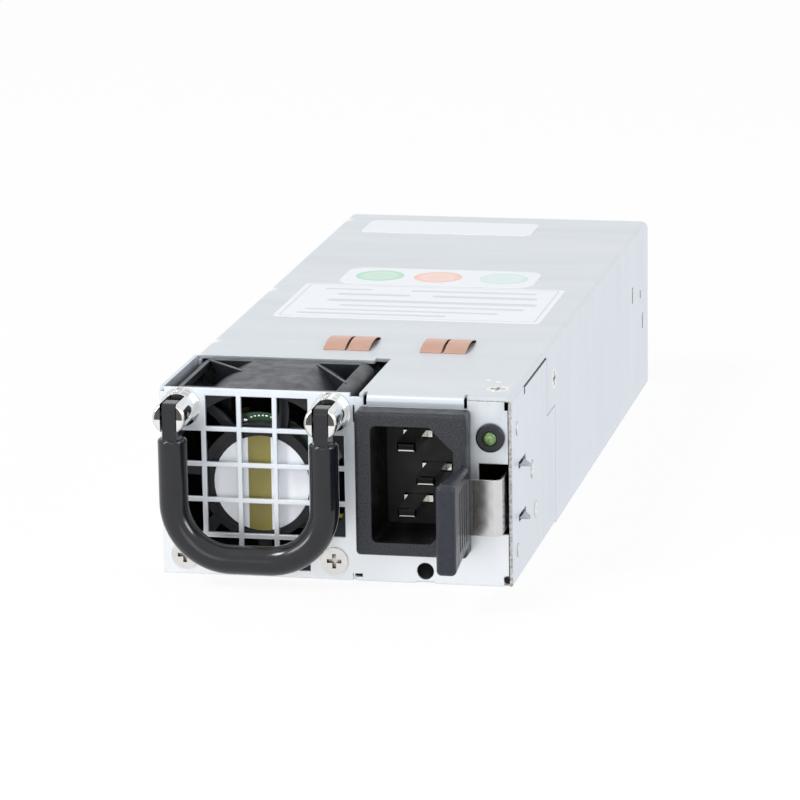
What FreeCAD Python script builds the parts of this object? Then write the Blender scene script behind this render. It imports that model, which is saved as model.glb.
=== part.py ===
import FreeCAD, Part
import Sketcher
import math
import os
import re
from functools import lru_cache

# Hot-swap server power supply.
# Frame: X to the right seen from the front, Y to the rear, Z up, millimetres.
# The outer face of the front panel is Y = 0, the underside of the case is Z = 0
# and the middle of the case is X = 0.

SIZES = (
    # case of folded steel sheet
    ("case_width", 74.5),
    ("case_height", 40.0),
    ("case_length", 185.0),
    ("skin", 0.8),
    ("bend_radius", 1.6),
    ("edge_round", 0.7),
    ("seam", 0.15),
    ("relief", 0.7),
    ("upstand_height", 11.5),
    ("bay_side_gap", 2.2),
    ("bay_rear_gap", 1.1),
    ("bay_jog", 2.1),
    ("jog_width", 3.2),
    ("bay_wall_gap", 0.5),
    ("wall_upper_length", 41.2),
    ("wall_lower_length", 51.3),
    ("wall_step_drop", 13.8),
    ("edge_gap", 0.5),
    ("edge_gap_start", 14.2),
    ("running_gap", 0.3),
    # fan
    ("fan_gap", 0.15),
    ("fan_size", 39.4),
    ("fan_depth", 28.0),
    ("fan_hole_inset", 3.7),
    ("fan_hole", 4.3),
    ("fan_rim", 0.8),
    ("fan_duct_wall", 2.0),
    ("fan_flange", 2.2),
    ("fan_corner", 4.0),
    ("fan_post", 3.4),
    ("fan_web", 1.2),
    ("fan_hub", 25.0),
    ("hub_recess", 0.5),
    ("fan_hub_plate", 2.0),
    ("hub_floor", 0.5),
    ("seat_diameter", 21.8),
    ("seat_depth", 0.3),
    ("vane_count", 7),
    ("vane_angle", 28.5),
    ("vane_lean", 2.6),
    ("vane_thick", 1.0),
    ("rib_root", 6.5),
    ("rib_left_y", 16.0),
    ("rib_right_y", 9.0),
    ("lead_exit_x", 11.5),
    ("lead_exit_z", 12.0),
    ("lead_pitch", 1.3),
    ("lead_drop", 1.6),
    ("lead_clear", 0.25),
    ("lead_rise", 1.7),
    ("lead_start", 0.2),
    ("notch_depth", 4.0),
    ("notch_length", 8.5),
    ("notch_room", 2.4),
    ("fan_tip_gap", 0.5),
    ("fan_shaft", 2.0),
    ("fan_bearing", 6.0),
    ("bearing_length", 2.5),
    ("fan_tube_wall", 1.0),
    ("tube_length", 16.3),
    ("driver_thick", 1.0),
    ("driver_reach", 14.5),
    ("driver_left", 4.1),
    ("driver_right", 10.5),
    ("driver_tab", 2.1),
    ("fan_stator", 19.0),
    ("stator_gap", 2.5),
    ("stator_length", 7.0),
    ("stator_end", 1.5),
    ("stator_slot", 1.8),
    ("fan_magnet", 1.1),
    ("magnet_gap", 0.4),
    ("magnet_length", 8.6),
    ("cup_gap", 0.3),
    ("cup_start", 2.2),
    ("cup_tail", 2.5),
    ("cup_floor", 1.8),
    ("fan_cup_wall", 1.0),
    ("boss_wall", 1.2),
    ("boss_length", 2.4),
    ("fan_blades", 7),
    ("fan_blade_width", 15.0),
    ("shaft_fit", 0.03),
    # grille in the front panel
    ("grille_pitch", 7.6),
    ("grille_hole", 6.6),
    ("panel_left_notch", 1.0),
    ("panel_step_gap", 0.2),
    ("mount_hole", 3.6),
    ("mount_hole_shift", 1.95),
    ("mount_hole_z", 2.6),
    ("foot_slot", 2.1),
    ("foot_step", 4.1),
    ("foot_rise", 0.35),
    ("corner_notch", 1.0),
    ("corner_rise", 2.0),
    ("slit_shift", 0.6),
    ("slit_length", 3.6),
    # carrying bail and its ferrules
    ("ferrule_diameter", 7.0),
    ("ferrule_length", 11.0),
    ("ferrule_ring", 8.4),
    ("ferrule_ring_height", 0.8),
    ("ferrule_round", 0.7),
    ("ferrule_stud", 4.0),
    ("slot_width", 3.5),
    ("slot_depth", 7.5),
    ("pin_diameter", 1.6),
    ("pin_setback", 3.3),
    ("pin_inset", 0.5),
    ("pivot_fit", 0.05),
    ("rod_diameter", 6.1),
    ("rod_setback", 8.0),
    ("bar_z", 5.65),
    ("rod_bend", 12.0),
    ("shoulder_drop", 4.75),
    ("tongue_width", 2.9),
    ("tongue_depth", 5.0),
    ("tongue_rise", 2.9),
    ("tongue_round", 1.2),
    ("tongue_root", 4.0),
    ("leg_round", 0.7),
    # appliance inlet, turned on its side
    ("inlet_inset", 20.5),
    ("inlet_drop", 17.9),
    ("bezel_width", 23.4),
    ("bezel_height", 30.5),
    ("bezel_depth", 5.0),
    ("bezel_round", 0.9),
    ("inlet_width", 20.4),
    ("inlet_height", 27.6),
    ("inlet_depth", 14.0),
    ("recess_shift", 0.4),
    ("recess_width", 17.3),
    ("recess_height", 24.8),
    ("recess_chamfer", 5.0),
    ("recess_round", 1.3),
    ("recess_floor", 11.5),
    ("blade_pitch", 14.0),
    ("blade_offset", 4.0),
    ("blade_width", 4.0),
    ("blade_thick", 2.0),
    ("blade_tip", 1.0),
    ("blade_tail", 22.0),
    ("shoulder_width", 6.2),
    ("shoulder_thick", 1.4),
    ("shoulder_rise", 0.2),
    ("shoulder_length", 2.2),
    ("tab_thick", 0.8),
    # cover lip over the inlet
    ("lip_width", 20.4),
    ("lip_shift", 0.25),
    ("lip_drop", 2.5),
    ("relief_depth", 2.4),
    # indicator
    ("led_inset", 4.55),
    ("led_drop", 8.4),
    ("led_flange", 6.0),
    ("led_body", 4.8),
    ("led_lens", 3.1),
    ("led_length", 6.0),
    # latch
    ("latch_open_width", 7.15),
    ("latch_open_below", 1.4),
    ("latch_open_above", 1.8),
    ("strip_thick", 0.5),
    ("strip_drop", 9.6),
    ("strip_height", 11.8),
    ("strip_gap", 0.5),
    ("strip_setback", 6.5),
    ("strip_bend", 1.5),
    ("leg_inset", 9.0),
    ("leg_length", 14.0),
    ("latch_pivot_y", 47.5),
    ("leaf_tail", 3.5),
    ("tooth_front", 7.8),
    ("tooth_rear", 15.0),
    ("tooth_reach", 2.2),
    ("tooth_slot_gap", 0.45),
    ("stud_diameter", 2.2),
    ("stud_head", 4.0),
    ("stud_hole", 3.0),
    ("grip_root_thick", 2.3),
    ("grip_root_below", 2.3),
    ("grip_root_above", 2.5),
    ("grip_tip_thick", 4.2),
    ("grip_tip_below", 3.9),
    ("grip_tip_above", 3.3),
    ("grip_lean", 0.35),
    ("grip_length", 18.2),
    ("grip_round", 1.05),
    ("groove_pitch", 2.7),
    ("groove_width", 0.9),
    ("groove_start", 4.0),
    ("groove_count", 4),
    ("groove_height", 12.5),
    # screws and rivets
    ("screw_head", 5.8),
    ("screw_shank", 3.0),
    ("screw_length", 8.0),
    ("small_head", 5.2),
    ("small_shank", 2.6),
    ("small_length", 4.0),
    ("recess_reach", 1.55),
    ("recess_slot", 0.8),
    ("recess_deep", 0.45),
    ("top_screw_inset", 4.45),
    ("top_screw_y", 8.3),
    ("side_screw_y", 50.7),
    ("side_screw_drop", 7.6),
    ("rivet_diameter", 3.0),
    ("rivet_y", 5.9),
    ("rivet_dome", 0.25),
    ("rivet_low", 6.3),
    ("rivet_drop", 7.7),
    ("flange_depth", 9.0),
    # dents pressed in the sheet
    ("dimple_diameter", 4.2),
    ("dimple_rise", 0.3),
    ("dimple_high_y", 22.6),
    ("dimple_high_z", 19.4),
    ("dimple_low_y", 26.2),
    ("dimple_low_z", 9.7),
    ("dart_radius", 1.8),
    ("dart_offset", 0.6),
    ("dart_front", 43.2),
    ("dart_middle", 96.6),
    ("dart_rear_gap", 7.1),
    # contact springs on the cover
    ("clip_y", 38.2),
    ("clip_length", 12.5),
    ("clip_width", 10.0),
    ("clip_rise", 1.1),
    ("clip_thick", 0.2),
    ("clip_spacing", 21.1),
    ("clip_inset", 22.05),
    ("clip_split", 0.6),
    # main board
    ("board_fan_gap", 4.2),
    ("board_rear_gap", 6.0),
    ("board_side", 2.0),
    ("board_lift", 3.0),
    ("board_thick", 1.6),
    ("film_thick", 0.4),
    ("standoff_inset", 3.0),
    ("standoff_setback", 29.0),
    ("standoff_rear_gap", 13.0),
    ("standoff_diameter", 5.0),
    # parts on the board
    ("fuse_inset", 16.5),
    ("fuse_setback", 7.2),
    ("fuse_diameter", 5.2),
    ("fuse_length", 20.0),
    ("fuse_cap", 5.0),
    ("xcap_inset", 14.9),
    ("xcap_setback", 10.0),
    ("xcap_length", 26.0),
    ("xcap_width", 10.0),
    ("xcap_height", 19.0),
    ("filter_inset", 19.5),
    ("filter_setback", 20.0),
    ("filter_ring", 14.0),
    ("filter_section", 9.0),
    ("bridge_inset", 7.5),
    ("bridge_setback", 22.0),
    ("bridge_width", 15.0),
    ("bridge_thick", 4.0),
    ("bridge_height", 20.0),
    ("bulk_inset", 13.5),
    ("bulk_setback", 33.0),
    ("bulk_diameter", 26.0),
    ("bulk_length", 46.0),
    ("can_round", 1.2),
    ("device_gap", 0.5),
    ("sink_setback", 33.0),
    ("sink_length", 50.0),
    ("sink_headroom", 3.8),
    ("sink_thick", 2.5),
    ("sink_fin", 5.0),
    ("device_width", 10.0),
    ("device_thick", 4.5),
    ("device_height", 15.0),
    ("boost_inset", 13.5),
    ("boost_setback", 51.0),
    ("boost_ring", 20.0),
    ("boost_section", 10.0),
    ("former_inset", 23.5),
    ("former_setback", 89.0),
    ("former_length", 28.0),
    ("former_width", 34.0),
    ("former_headroom", 5.8),
    ("former_leg", 6.0),
    ("former_post", 11.0),
    ("coil_gap", 0.3),
    ("card_inset", 3.5),
    ("card_setback", 81.0),
    ("card_length", 46.0),
    ("card_headroom", 4.8),
    ("card_thick", 1.6),
    ("chip_length", 9.0),
    ("chip_pitch", 14.0),
    ("chip_start", 6.0),
    ("chip_rise", 12.0),
    ("chip_height", 6.0),
    ("chip_thick", 1.6),
    ("outcap_diameter", 10.0),
    ("outcap_height", 20.0),
    ("outcap_pitch", 11.5),
    ("outcap_inset", 49.5),
    ("outcap_rear_gap", 18.0),
    ("outcap_count", 4),
    # rear
    ("plug_x", -4.0),
    ("plug_width", 52.0),
    ("plug_height", 10.0),
    ("plug_rise", 0.0),
    ("plug_depth", 22.0),
    ("plug_reach", 8.0),
    ("plug_wall", 1.4),
    ("contact_pitch", 6.0),
    ("contact_width", 3.2),
    ("contact_thick", 1.0),
    ("contact_count", 8),
    ("vent_pitch", 5.4),
    ("vent_hole", 4.2),
    ("vent_columns", 12),
    ("vent_rows", 3),
    ("vent_z", 26.6),
    ("slot_vent_width", 1.2),
    ("slot_vent_long", 4.0),
    ("slot_vent_short", 1.9),
    ("slot_vent_high_gap", 24.8),
    ("slot_vent_high_drop", 13.3),
    ("slot_vent_middle_gap", 12.6),
    ("slot_vent_middle_drop", 15.6),
    ("slot_vent_low_gap", 9.3),
    ("slot_vent_low_drop", 22.8),
    # leads
    ("lead_diameter", 2.2),
    ("fan_lead_diameter", 1.1),
    ("header_width", 8.0),
    ("header_depth", 5.0),
    ("header_height", 6.0),
    ("header_inset", 4.1),
    ("header_setback", 4.0),
)

# Places worked out from the sizes. Each is written once and used by name.
PLACES = {
    "fan_bore": "(fan_size - 2*fan_rim)",
    "fan_hole_pitch": "(fan_size - 2*fan_hole_inset)",
    "hub_front": "(skin + hub_recess)",
    "hub_rear": "(hub_front + fan_hub_plate)",
    "cup_radius": "(fan_hub/2 - cup_gap)",
    "cup_front": "(hub_rear + cup_start)",
    "cup_rear": "(cup_front + fan_blade_width + cup_tail)",
    "tube_radius": "(fan_bearing/2 + fan_tube_wall)",
    "tube_rear": "(hub_front + tube_length)",
    "fan_x": "(skin + fan_gap + fan_size/2 - case_width/2)",
    "fan_left": "(fan_x - fan_size/2)",
    "fan_right": "(fan_x + fan_size/2)",
    "bay_right": "(fan_right + bay_side_gap)",
    "bay_depth": "(skin + fan_depth + bay_rear_gap)",
    "bay_wall_length": "(skin + fan_depth + bay_wall_gap)",
    "wall_step_z": "(case_height - wall_step_drop)",
    "panel_step_x": "(fan_right + panel_step_gap)",
    "inlet_x": "(case_width/2 - inlet_inset)",
    "inlet_z": "(case_height - inlet_drop)",
    "mount_hole_x": "(inlet_x + mount_hole_shift)",
    "lip_left": "(inlet_x + lip_shift - lip_width/2)",
    "lip_right": "(inlet_x + lip_shift + lip_width/2)",
    "lip_low": "(case_height - lip_drop)",
    "led_x": "(case_width/2 - led_inset)",
    "led_z": "(case_height - led_drop)",
    "strip_low": "(inlet_z - strip_drop)",
    "strip_high": "(strip_low + strip_height)",
    "latch_open_left": "(case_width/2 - latch_open_width)",
    "latch_open_low": "(strip_low - latch_open_below)",
    "latch_open_high": "(strip_high + latch_open_above)",
    "leg_x": "(case_width/2 - leg_inset)",
    "grip_tip_x": "(leg_x - grip_lean)",
    "grip_root_low": "(strip_low - grip_root_below)",
    "grip_root_high": "(strip_high + grip_root_above)",
    "grip_tip_low": "(strip_low - grip_tip_below)",
    "grip_tip_high": "(strip_high + grip_tip_above)",
    "top_screw_x": "(case_width/2 - top_screw_inset)",
    "side_screw_z": "(case_height - side_screw_drop)",
    "rivet_high": "(case_height - rivet_drop)",
    "clip_right_x": "(case_width/2 - clip_inset)",
    "clip_left_x": "(clip_right_x - clip_spacing)",
    "board_front": "(skin + fan_depth + board_fan_gap)",
    "board_rear": "(case_length - board_rear_gap)",
    "board_edge": "(case_width/2 - 2*skin - seam - board_side)",
    "board_low": "(skin + board_lift)",
    "board_top": "(board_low + board_thick)",
    "headroom": "(case_height - skin - board_top)",
    "standoff_x": "(board_edge - standoff_inset)",
    "standoff_front": "(board_front + standoff_setback)",
    "standoff_rear": "(board_rear - standoff_rear_gap)",
    "header_x": "(fan_right - header_inset)",
    "header_y": "(board_front + header_setback)",
    "fuse_x": "(board_edge - fuse_inset)",
    "fuse_y": "(board_front + fuse_setback)",
    "xcap_x": "(xcap_inset - board_edge)",
    "xcap_y": "(board_front + xcap_setback)",
    "filter_x": "(board_edge - filter_inset)",
    "filter_y": "(board_front + filter_setback)",
    "bridge_x": "(bridge_inset - board_edge)",
    "bridge_y": "(board_front + bridge_setback)",
    "bulk_x": "(bulk_inset - board_edge)",
    "bulk_y": "(board_front + bulk_setback)",
    "sink_x": "(bulk_x + bulk_diameter/2 + device_gap + device_thick)",
    "sink_y": "(board_front + sink_setback)",
    "sink_height": "(headroom - sink_headroom)",
    "boost_x": "(board_edge - boost_inset)",
    "boost_y": "(board_front + boost_setback)",
    "former_x": "(board_edge - former_inset)",
    "former_y": "(board_front + former_setback)",
    "former_height": "(headroom - former_headroom)",
    "card_x": "(card_inset - board_edge)",
    "card_y": "(board_front + card_setback)",
    "card_height": "(headroom - card_headroom)",
    "outcap_x": "(board_edge - outcap_inset)",
    "outcap_y": "(board_rear - outcap_rear_gap)",
}

doc = FreeCAD.newDocument("power_supply")
sheet = doc.addObject("Spreadsheet::Sheet", "Sizes")
for row, (alias, size) in enumerate(SIZES, start=1):
    sheet.set("A%d" % row, alias)
    sheet.set("B%d" % row, str(size))
    sheet.setAlias("B%d" % row, alias)
doc.recompute()
ALIASES = {alias for alias, size in SIZES}
NODES = []
ruler = doc.addObject("Part::Vertex", "Ruler")

LEFT = "-case_width/2"
RIGHT = "case_width/2"
INNER = "(case_width/2 - skin)"
UPSTAND = "(case_width/2 - skin - seam)"
MIDDLE = "case_height/2"
UNDER_COVER = "(case_height - skin)"
FAN_LEFT = "fan_left"
FAN_RIGHT = "fan_right"
FAN_LOW = "(case_height/2 - fan_size/2)"
FAN_HIGH = "(case_height/2 + fan_size/2)"
FAN_REAR = "(skin + fan_depth)"
PIVOT_Y = "(pin_setback - ferrule_length)"
PIVOT_Z = "(case_height/2 + fan_hole_pitch/2)"
LEAF_OUT = "(case_width/2 - skin - strip_gap)"
LEAF_IN = "(case_width/2 - skin - strip_gap - strip_thick)"
STRIP_REAR = "(strip_thick - strip_setback)"
BOARD_LOW = "board_low"
BOARD_TOP = "board_top"
RECESS_X = "(inlet_x + recess_shift)"


def linked(text):
    """Expression text with each size name pointing at its cell."""
    def point(word):
        name = word.group()
        if name in PLACES:
            return linked(PLACES[name])
        return "Sizes." + name if name in ALIASES else name
    return re.sub(r"[a-z][a-z0-9_]*", point, text)


@lru_cache(maxsize=None)
def number(text):
    """The present value of an expression, for geometry drawn in code."""
    ruler.setExpression("X", linked(text))
    ruler.recompute()
    return ruler.X.Value


def vector(x, y, z):
    return FreeCAD.Vector(number(x), number(y), number(z))


# ---- primitives whose sizes and places follow the sheet ----

def place(shape, x, y, z):
    for axis, text in zip("xyz", (x, y, z)):
        shape.setExpression("Placement.Base." + axis, linked(text))


def block(name, x, y, z):
    """A box from its low and high edge along each axis."""
    shape = doc.addObject("Part::Box", name)
    for side, (low, high) in (("Length", x), ("Width", y), ("Height", z)):
        shape.setExpression(side, linked("(%s) - (%s)" % (high, low)))
    place(shape, x[0], y[0], z[0])
    return shape


TURNS = {"x": FreeCAD.Rotation(FreeCAD.Vector(0, 1, 0), 90),
         "y": FreeCAD.Rotation(FreeCAD.Vector(1, 0, 0), -90),
         "z": FreeCAD.Rotation()}


def along_axis(shape, axis, centre, span):
    shape.Placement = FreeCAD.Placement(FreeCAD.Vector(), TURNS[axis])
    shape.setExpression("Height", linked("(%s) - (%s)" % (span[1], span[0])))
    spot = list(centre)
    spot.insert("xyz".index(axis), span[0])
    place(shape, *spot)
    return shape


def rod(name, axis, centre, radius, span):
    """A cylinder on an axis through centre (the two other coordinates)."""
    shape = doc.addObject("Part::Cylinder", name)
    shape.setExpression("Radius", linked(radius))
    return along_axis(shape, axis, centre, span)


def taper(name, axis, centre, radius_low, radius_high, span):
    shape = doc.addObject("Part::Cone", name)
    shape.setExpression("Radius1", linked(radius_low))
    shape.setExpression("Radius2", linked(radius_high))
    return along_axis(shape, axis, centre, span)


def ring(name, centre, main_radius, section_radius, turn):
    shape = doc.addObject("Part::Torus", name)
    shape.setExpression("Radius1", linked(main_radius))
    shape.setExpression("Radius2", linked(section_radius))
    shape.Placement = FreeCAD.Placement(FreeCAD.Vector(), turn)
    place(shape, *centre)
    return shape


def fuse(name, *shapes):
    joined = doc.addObject("Part::MultiFuse", name)
    joined.Shapes = list(shapes)
    joined.Refine = True
    return joined


def cut(name, base, *tools):
    piece = doc.addObject("Part::Cut", name)
    piece.Base = base
    piece.Tool = tools[0] if len(tools) == 1 else fuse(name + "_tools", *tools)
    return piece


def overlap(name, *shapes):
    piece = doc.addObject("Part::MultiCommon", name)
    piece.Shapes = list(shapes)
    return piece


def gather(name, shapes):
    """Separate solids kept in one node."""
    bundle = doc.addObject("Part::Compound", name)
    bundle.Links = list(shapes)
    return bundle


def edges_where(shape, test):
    """Names of the edges whose middle point passes the test."""
    names = []
    for index, edge in enumerate(shape.Edges, start=1):
        middle = edge.valueAt((edge.FirstParameter + edge.LastParameter) / 2)
        if test(edge, middle):
            names.append(index)
    return names


def near(value, target):
    return abs(value - target) < 0.01


def soften(name, base, radius, test):
    """Round the edges of a solid that pass the test."""
    doc.recompute()
    rounded = doc.addObject("Part::Fillet", name)
    rounded.Base = base
    rounded.Edges = [(index, number(radius), number(radius)) for index in edges_where(base.Shape, test)]
    return rounded


def from_shape(name, shape, placement=FreeCAD.Placement()):
    feature = doc.addObject("Part::Feature", name)
    feature.Shape = shape
    feature.Placement = placement
    return feature


def node(feature, label):
    """Give a finished sub-part its name."""
    feature.Label = label
    NODES.append(feature)
    return feature


# ---- bodies made of sketches ----

def new_body(name):
    return doc.addObject("PartDesign::Body", name)


def sketch_on(body, name, role, offset=None):
    drawing = body.newObject("Sketcher::SketchObject", name)
    plane = next(item for item in body.Origin.OriginFeatures if item.Role == role)
    drawing.AttachmentSupport = (plane, [""])
    drawing.MapMode = "FlatFace"
    if offset:
        drawing.setExpression("AttachmentOffset.Base.z", linked(offset))
    return drawing


def hold(drawing, rules, fixed=()):
    """Add the sized constraints in one go and tie each to its expression."""
    first = drawing.ConstraintCount + len(fixed)
    drawing.addConstraint(list(fixed) + [constraint for constraint, text in rules])
    for index, (constraint, text) in enumerate(rules, start=first):
        drawing.setExpression("Constraints[%d]" % index, linked(text))


def at_point(geometry, end, x, y):
    """Two distances from the origin that hold a point of a drawing."""
    return [(Sketcher.Constraint(kind, -1, 1, geometry, end, number(text)), text)
            for kind, text in (("DistanceX", x), ("DistanceY", y))]


def outlines(drawing, loops):
    """Closed outlines, each through points given as pairs of expressions."""
    joints = []
    rules = []
    for points in loops:
        spots = [FreeCAD.Vector(number(x), number(y), 0) for x, y in points]
        first = drawing.GeometryCount
        count = len(points)
        drawing.addGeometry([Part.LineSegment(spots[index], spots[(index + 1) % count])
                             for index in range(count)], False)
        joints += [Sketcher.Constraint("Coincident", first + index, 2, first + (index + 1) % count, 1)
                   for index in range(count)]
        for index, (x, y) in enumerate(points):
            rules += at_point(first + index, 1, x, y)
    hold(drawing, rules, joints)


def polygon(drawing, points):
    outlines(drawing, [points])


def corners(x, y):
    return [(x[0], y[0]), (x[1], y[0]), (x[1], y[1]), (x[0], y[1])]


def rectangle(drawing, x, y):
    polygon(drawing, corners(x, y))


def square(x, y, size):
    """Corners of a square hole about a middle point."""
    return corners(*[("%s - %s/2" % (middle, size), "%s + %s/2" % (middle, size))
                     for middle in (x, y)])


def disc(drawing, x, y, radius):
    spot = FreeCAD.Vector(number(x), number(y), 0)
    index = drawing.addGeometry(
        Part.Circle(spot, FreeCAD.Vector(0, 0, 1), number(radius)), False)
    size = (Sketcher.Constraint("Radius", index, number(radius)), radius)
    hold(drawing, at_point(index, 3, x, y) + [size])


def pad(body, name, drawing, length, backwards=False):
    feature = body.newObject("PartDesign::Pad", name)
    feature.Profile = drawing
    feature.setExpression("Length", linked(length))
    feature.Reversed = backwards
    drawing.Visibility = False
    return feature


def pocket(body, name, drawing, length):
    """Cut a drawing into the body, and make sure that it removes material."""
    doc.recompute()
    before = body.Shape.Volume
    feature = body.newObject("PartDesign::Pocket", name)
    feature.Profile = drawing
    feature.setExpression("Length", linked(length))
    drawing.Visibility = False
    doc.recompute()
    if not body.Shape.Volume < before - 1e-6:
        raise RuntimeError(name + " removes nothing")
    return feature


def round_edges(body, name, radius, test):
    doc.recompute()
    base = body.Tip
    feature = body.newObject("PartDesign::Fillet", name)
    feature.Base = (base, ["Edge%d" % index for index in edges_where(base.Shape, test)])
    feature.setExpression("Radius", linked(radius))
    doc.recompute()
    return feature


# ---- sheet metal ----

def make_front_panel():
    body = new_body("FrontPanel")
    outline = sketch_on(body, "PanelOutline", "XZ_Plane")
    right = INNER + " - seam"
    top = UNDER_COVER
    step = "panel_left_notch"
    polygon(outline, [
        (LEFT, "0"), ("panel_step_x", "0"), ("panel_step_x", "skin + relief"),
        ("panel_step_x + foot_slot", "skin + relief"), ("panel_step_x + foot_slot", "skin"),
        ("panel_step_x + relief", "skin"), ("panel_step_x + relief", "0"),
        ("mount_hole_x - foot_step/2", "0"), ("mount_hole_x - foot_step/2", "foot_rise"),
        ("mount_hole_x + foot_step/2", "foot_rise"), ("mount_hole_x + foot_step/2", "0"),
        (right + " - corner_notch", "0"), (right + " - corner_notch", "corner_rise"),
        (right, "corner_rise"), (right, "latch_open_low"),
        ("latch_open_left", "latch_open_low"), ("latch_open_left", "latch_open_high"),
        (right, "latch_open_high"), (right, top + " - 1.8"),
        (right + " - relief", top + " - 1.8"), (right + " - relief", top),
        ("lip_right + relief", top), ("lip_right + relief", "lip_low"),
        ("lip_left - relief", "lip_low"), ("lip_left - relief", top),
        ("panel_step_x", top), ("panel_step_x", "case_height"),
        (LEFT + " + " + step, "case_height"), (LEFT + " + " + step, "case_height - " + step),
        (LEFT, "case_height - " + step)])
    pad(body, "PanelSheet", outline, "skin", backwards=True)
    rows = int(number("case_height/grille_pitch"))
    columns = int(number("fan_size/grille_pitch"))
    for row in range(rows):
        holes = sketch_on(body, "GrilleHoles", "XZ_Plane")
        across = range(1, columns - 1) if row in (0, rows - 1) else range(columns)
        outlines(holes, [square("fan_x + (%g)*grille_pitch" % (column - (columns - 1) / 2),
                                "case_height/2 + (%g)*grille_pitch" % (row - (rows - 1) / 2),
                                "grille_hole")
                         for column in across])
        pocket(body, "GrilleRow", holes, "2*skin")
    window = sketch_on(body, "Windows", "XZ_Plane")
    rectangle(window, ("inlet_x - inlet_width/2 - seam", "inlet_x + inlet_width/2 + seam"),
              ("inlet_z - inlet_height/2 - seam", "inlet_z + inlet_height/2 + seam"))
    disc(window, "led_x", "led_z", "led_body/2")
    disc(window, "mount_hole_x", "mount_hole_z", "mount_hole/2")
    for side in (-1, 1):
        place_x = "fan_x + %d*fan_hole_pitch/2" % side
        disc(window, place_x, "case_height/2 + fan_hole_pitch/2", "ferrule_stud/2")
        disc(window, place_x, "case_height/2 - fan_hole_pitch/2", "screw_shank/2")
    rectangle(window, ("panel_step_x + slit_shift", "panel_step_x + slit_shift + relief/2"),
              ("lip_low - slit_length", "lip_low"))
    pocket(body, "Openings", window, "2*skin")
    flanges = []
    tools = []
    for level, low, high in (("rivet_low", "seam + skin", "latch_open_low - 1.5"),
                             ("rivet_high", "latch_open_high + 1.5", top + " - 3")):
        flanges.append(block("PanelFlange", (right + " - skin", right), ("0", "flange_depth"),
                             (low, high)))
        tools.append(rod("FlangeHole", "x", ("rivet_y", level), "rivet_diameter/2",
                         (INNER + " - 2*skin", RIGHT)))
    for side in (-1, 1):
        tools.append(taper("ScrewSeat", "y", corner_at(side, -1), "screw_head/2", "screw_shank/2",
                           ("0", "skin")))
    node(cut("PanelWithSeats", fuse("PanelWithFlanges", body, *flanges), *tools), "front_panel")


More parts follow.
